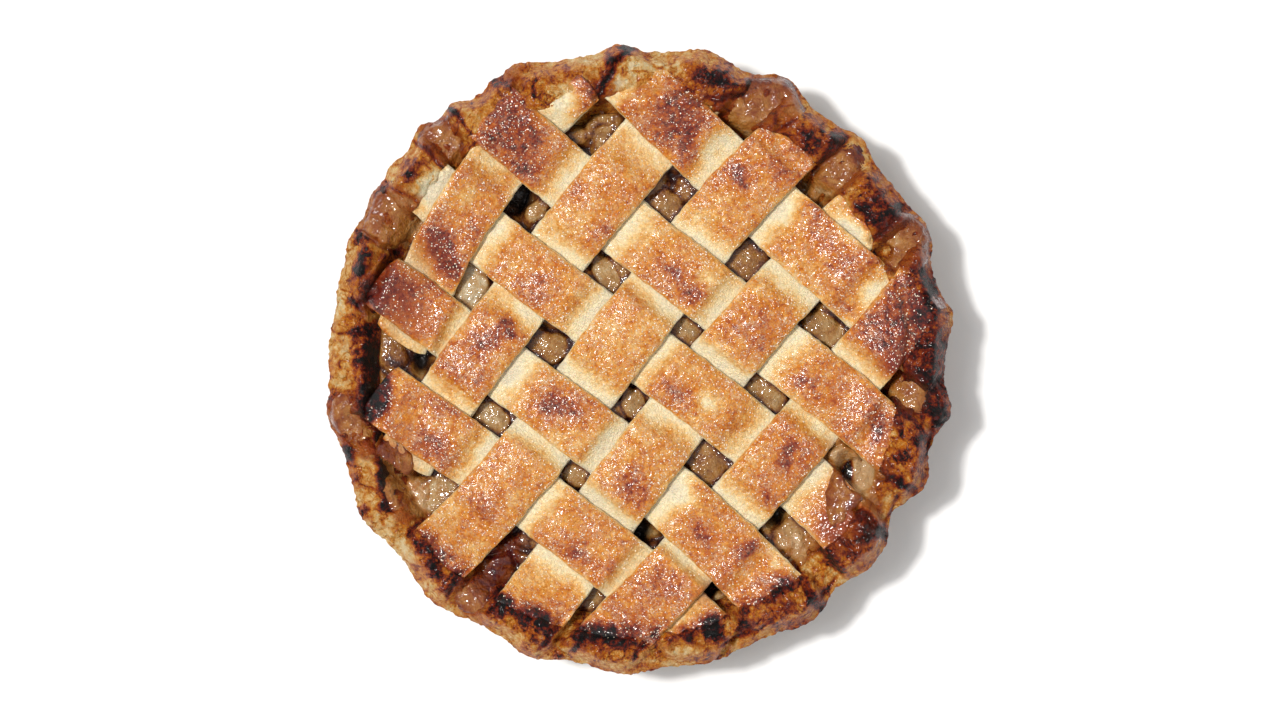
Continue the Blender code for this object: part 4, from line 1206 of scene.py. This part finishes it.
def build_filling():
    """Apple pieces in syrup, down to the bottom crust."""
    body = ((98.0, 31.2), (90.0, 21.3), (82.0, 11.0), (79.0, 9.2), (40.0, 9.2), (1.0, 9.2))
    top_radii = np.linspace(0.8, 101.2, FILLING_TOP_RINGS)
    radii = np.concatenate((top_radii, [radius for radius, _ in body]))
    theta = np.linspace(0.0, TAU, FILLING_COLUMNS, endpoint=False)[None, :]
    x = radii[:, None] * np.cos(theta)
    y = radii[:, None] * np.sin(theta)
    z, flesh, syrup_and_shade = filling_surface(x, y)
    z[FILLING_TOP_RINGS - 1, :] = 35.6
    z[FILLING_TOP_RINGS:, :] = np.array([height for _, height in body])[:, None]
    faces = [group[:, ::-1] for group in skin_faces(len(radii), FILLING_COLUMNS)]
    fields = {"flesh": flesh, "syrup_and_shade": syrup_and_shade}
    make_piece("apple_filling", (x, y, z), faces, fields, FILLING_LOOK, ("filling",))


def juice_field(x, y, angle, radius):
    """Over zero where boiled juice lies on the rim, one at the middle of a puddle."""
    field = np.full(x.shape, -1.0)
    for *form, _ in JUICES:
        field = np.maximum(field, 1.0 - rim_distance(angle, radius, *form))
    field = np.maximum(field, 1.3 * patch_sum(x, y, SPILLS) - 0.3)
    field += 0.45 * layered_noise(x, y, 0.0, 8.0, 81, 3)
    for oval in JUICE_HOLES:
        field = np.minimum(field, (oval_distance(x, y, *oval) - 1.0) * 1.5)
    return field


def juice_film(angle, radius):
    """Thickness of the juice."""
    film = np.full(radius.shape, 0.6)
    for *form, thickness in JUICES:
        away = rim_distance(angle, radius, *form)
        film = np.maximum(film, 0.65 * thickness * np.exp(-away * 0.8))
    return film


def juice_swell(x, y):
    """Swells and wrinkles of the juice, about zero."""
    swell = 1.1 * layered_noise(x, y, 0.0, 8.0, 85, 2)
    wrinkles = np.abs(layered_noise(x + 2.0 * noise(x, y, 0.0, 6.0, 88), y, 0.0, 4.6, 87, 2))
    return swell + 1.1 * (0.3 - wrinkles)


def near_strips(x, y):
    """Shares from 0 to 1 by which a place is on a strip, and on it or close beside it."""
    on_strip = np.zeros(x.shape)
    beside = np.zeros(x.shape)
    for strip in ALL_STRIPS:
        edge = beside_strip(strip, x, y)[0]
        on_strip = np.maximum(on_strip, smooth_step((0.4 - edge) / 2.0))
        beside = np.maximum(beside, smooth_step((2.6 - edge) / 2.4))
    return on_strip, beside


def build_juice():
    """Skins of boiled juice that lie in the rim's hollows and run over two strip ends."""
    angle = np.linspace(0.0, 360.0, JUICE_COLUMNS, endpoint=False)[None, :]
    outer = rim_outline(angle) + 0.2
    share = np.linspace(0.0, 1.0, JUICE_RINGS)[:, None]
    radius = JUICE_INNER_RADIUS + share * (outer - JUICE_INNER_RADIUS)
    angles = np.broadcast_to(angle, radius.shape)
    x, y = plan(angles, radius)
    field = juice_field(x, y, angles, radius)
    crust = crust_top_detail(x, y, angles, radius)
    fruit, flesh, _ = filling_surface(x, y)
    blend = ease(radius, 100.0, 5.0)
    ground = fruit * (1.0 - blend) + crust * blend
    on_strip, beside = near_strips(x, y)
    off_rim = 1.0 - ease(radius, 105.0, 5.0)
    spill = smooth_step(patch_sum(x, y, SPILLS) * 2.4)
    run_over = beside * spill * off_rim
    footprint = on_strip * off_rim * (1.0 - spill)
    level = smooth_step(field * 1.5)
    smooth_ground = ground * (1.0 - blend) + rim_top(angles, radius) * blend
    base = ground + level * (smooth_ground - ground)
    base += run_over * (lattice_middle(radius) - 0.15 - base)
    film = juice_film(angles, radius) * (1.0 - 0.9 * footprint) * (1.0 - 0.5 * run_over)
    z = base + film * level + juice_swell(x, y) * level * (1.0 - footprint) - 0.2
    edge_fall = smooth_step((radius - outer + 3.5) / 3.5)
    z -= edge_fall ** 2 * 2.6
    pale = 0.59 + 0.4 * smooth_step((112.0 - radius) / 12.0) * flesh
    pale -= patch_sum(x, y, DARK_SYRUP)
    pale = pale - 0.12 * ease(radius, 116.0, 6.0) + 0.2 * (level - 0.7)
    pale -= 0.22 * run_over
    for *oval, drop in JUICE_WELLS:
        away = np.sqrt(oval_distance(x, y, *oval)) + 0.05 * noise(x, y, 0.0, 4.0, 89)
        inside = smooth_step((1.06 - away) / 0.2)
        z += inside * (np.maximum(z - drop, ground + 0.3) - z)
        # Painted shadow: the left part of the well, shaded by its own rim from the light, is painted dark
        shaded = smooth_step((oval[0] - 0.2 * oval[2] - x) / (0.35 * oval[2]))
        pale += inside * (0.97 - 0.97 * shaded - pale)
    quads = ring_quads(JUICE_RINGS, JUICE_COLUMNS)
    shown = quads[field.ravel()[quads].max(axis=1) > -0.08]
    used, packed = np.unique(shown, return_inverse=True)
    points = [part.ravel()[used] for part in (x, y, z)]
    faces = [packed.reshape(-1, 4)[:, ::-1]]
    make_piece("boiled_juice", points, faces, {"pale": pale.ravel()[used]}, JUICE_LOOK)


def grain_places(random, tops, seed):
    """Places on the strips that keep their sugar: mostly browned, not burnt and not wet."""
    places = []
    for top, cover, bake in tops:
        rows, columns = top.shape[:2]
        amount = int(GRAIN_COUNT * rows * columns / GRAIN_COUNT_POINTS)
        row = random.integers(1, rows - 2, amount)
        column = random.integers(2, columns - 3, amount)
        mix = random.random((amount, 2, 1))
        near = top[row, column]
        point = near + mix[:, 0] * (top[row + 1, column] - near) + mix[:, 1] * (top[row, column + 1] - near)
        x, y, _ = point.T
        browning = bake[row, column]
        chance = smooth_step(cover[row, column] / 9.0) * (0.3 + 0.7 * (browning > 0.2))
        clump = noise(x, y, 0.0, 5.0, seed + 3) * 0.5 + 0.6
        chance = chance * np.clip(clump, 0.1, 1.0) * (1.0 - 0.85 * ease(browning, 0.7, 0.2))
        chance = chance * (1.0 - 0.8 * soaking(x, y))
        places.append(point[random.random(amount) < chance])
    return np.concatenate(places, axis=0)


def build_sugar(name, tops, seed):
    """Coarse sugar grains, small turned boxes that lie on the lattice strips."""
    random = np.random.default_rng(seed)
    centres = grain_places(random, tops, seed)
    total = len(centres)
    corner = np.array([[a, b, c] for a in (-1, 1) for b in (-1, 1) for c in (-1, 1)], dtype=float)
    size = random.uniform(0.09, 0.22, (total, 1, 1)) * random.uniform(0.75, 1.25, (total, 1, 3))
    heading = random.uniform(0.0, TAU, total)
    axis = np.stack((np.cos(heading), np.sin(heading), np.zeros(total)), axis=-1)
    spin = random.uniform(-0.6, 0.6, total)
    cubes = corner[None] * size
    cos_spin = np.cos(spin)[:, None, None]
    sin_spin = np.sin(spin)[:, None, None]
    dots = np.einsum("nij,nj->ni", cubes, axis)[:, :, None]
    crossed = np.cross(np.broadcast_to(axis[:, None, :], cubes.shape), cubes)
    turned = cubes * cos_spin + crossed * sin_spin + axis[:, None, :] * dots * (1.0 - cos_spin)
    points = turned + centres[:, None, :] + np.array([0.0, 0.0, 0.07])
    box = np.array([[0, 1, 3, 2], [4, 6, 7, 5], [0, 4, 5, 1], [2, 3, 7, 6], [0, 2, 6, 4], [1, 5, 7, 3]])
    quads = (np.arange(total)[:, None, None] * 8 + box[None]).reshape(-1, 4)
    grains = make_piece(name, np.moveaxis(points, -1, 0), [quads], {}, SUGAR_LOOK)
    grains.data.polygons.foreach_set("use_smooth", np.zeros(len(quads), dtype=bool))


def dress_dish():
    """Clear glass on the part's own dish, rounded but for its edges."""
    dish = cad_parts["dish"]
    dish.visible_shadow = False
    dish.data.polygons.foreach_set("use_smooth", np.ones(len(dish.data.polygons), dtype=bool))
    dish.data.set_sharp_from_angle(angle=math.radians(32.0))
    for slot in dish.material_slots:
        slot.material = glass_material()


def build_floor():
    """White ground under the pie."""
    mesh = bpy.data.meshes.new("ground")
    mesh.from_pydata([(-3, -3, 0), (3, -3, 0), (3, 3, 0), (-3, 3, 0)], [], [(0, 1, 2, 3)])
    mesh.materials.append(floor_material())
    floor = bpy.data.objects.new("ground", mesh)
    bpy.context.scene.collection.objects.link(floor)


def build_sky():
    """White surroundings, brighter above than below."""
    world = bpy.data.worlds.new("studio")
    world.use_nodes = True
    nodes = world.node_tree.nodes
    links = world.node_tree.links
    background = nodes["Background"]
    background.inputs["Color"].default_value = (1.0, 1.0, 1.0, 1.0)
    direction = nodes.new("ShaderNodeTexCoord")
    parts = nodes.new("ShaderNodeSeparateXYZ")
    slope = nodes.new("ShaderNodeMath")
    slope.operation = "MULTIPLY_ADD"
    slope.use_clamp = True
    slope.inputs[1].default_value = SKY_RISE
    slope.inputs[2].default_value = SKY_LEVEL - SKY_RISE * 2.0 / 3.0
    links.new(direction.outputs["Generated"], parts.inputs["Vector"])
    links.new(parts.outputs["Z"], slope.inputs[0])
    links.new(slope.outputs["Value"], background.inputs["Strength"])
    bpy.context.scene.world = world


def build_light(name, strength, width):
    """Distant light from one side, with a width in degrees."""
    light = bpy.data.lights.new(name, "SUN")
    light.energy = strength
    light.angle = math.radians(width)
    light.color = LAMP_COLOUR
    light_object = bpy.data.objects.new(name, light)
    light_object.rotation_euler = (0.0, math.pi / 2.0 - SUN_HEIGHT, LIGHT_FROM)
    bpy.context.scene.collection.objects.link(light_object)


def build_camera():
    """Camera that looks straight down, as in the photograph."""
    scene = bpy.context.scene
    camera = bpy.data.cameras.new("camera")
    camera.sensor_width = SENSOR_WIDTH
    camera.lens = SENSOR_WIDTH * (CAMERA_DISTANCE - RIM_LEVEL) / (PICTURE_WIDTH * MM_PER_PIXEL * MM)
    camera.clip_end = 20.0
    camera_object = bpy.data.objects.new("camera", camera)
    pixel = MM_PER_PIXEL * MM
    camera_object.location = (PIE_LEFT * pixel, PIE_BELOW * pixel, CAMERA_DISTANCE)
    scene.collection.objects.link(camera_object)
    scene.camera = camera_object
    scene.view_settings.view_transform = "Standard"
    scene.view_settings.look = "None"


CRUST_PASTRY = pastry_material("crust_pastry", speckle=0.15, gloss=0.2, flaky=1.0)
LATTICE_PASTRY = pastry_material("lattice_pastry", speckle=0.65, gloss=0.8, flaky=0.1)
FILLING_LOOK = filling_material()
JUICE_LOOK = juice_material()
SUGAR_LOOK = sugar_material()

dress_dish()
build_crust()
build_filling()
build_juice()
strip_tops = []
for number, strip_row in STRIPS_A.items():
    strip_tops.append(build_strip("a", number, strip_row, STRIPS_B, 100 + number))
for number, strip_row in STRIPS_B.items():
    blocker = STRIPS_A[1] if number == 1 else None
    strip_tops.append(build_strip("b", number, strip_row, STRIPS_A, 200 + number, blocker))
build_sugar("sugar_first", strip_tops, 5)
build_sugar("sugar_second", strip_tops, 9)
build_floor()
build_sky()
build_light("key", SUN_STRENGTH, 5.5)
build_light("soft_box", SOFT_BOX_STRENGTH, 20.0)
build_camera()
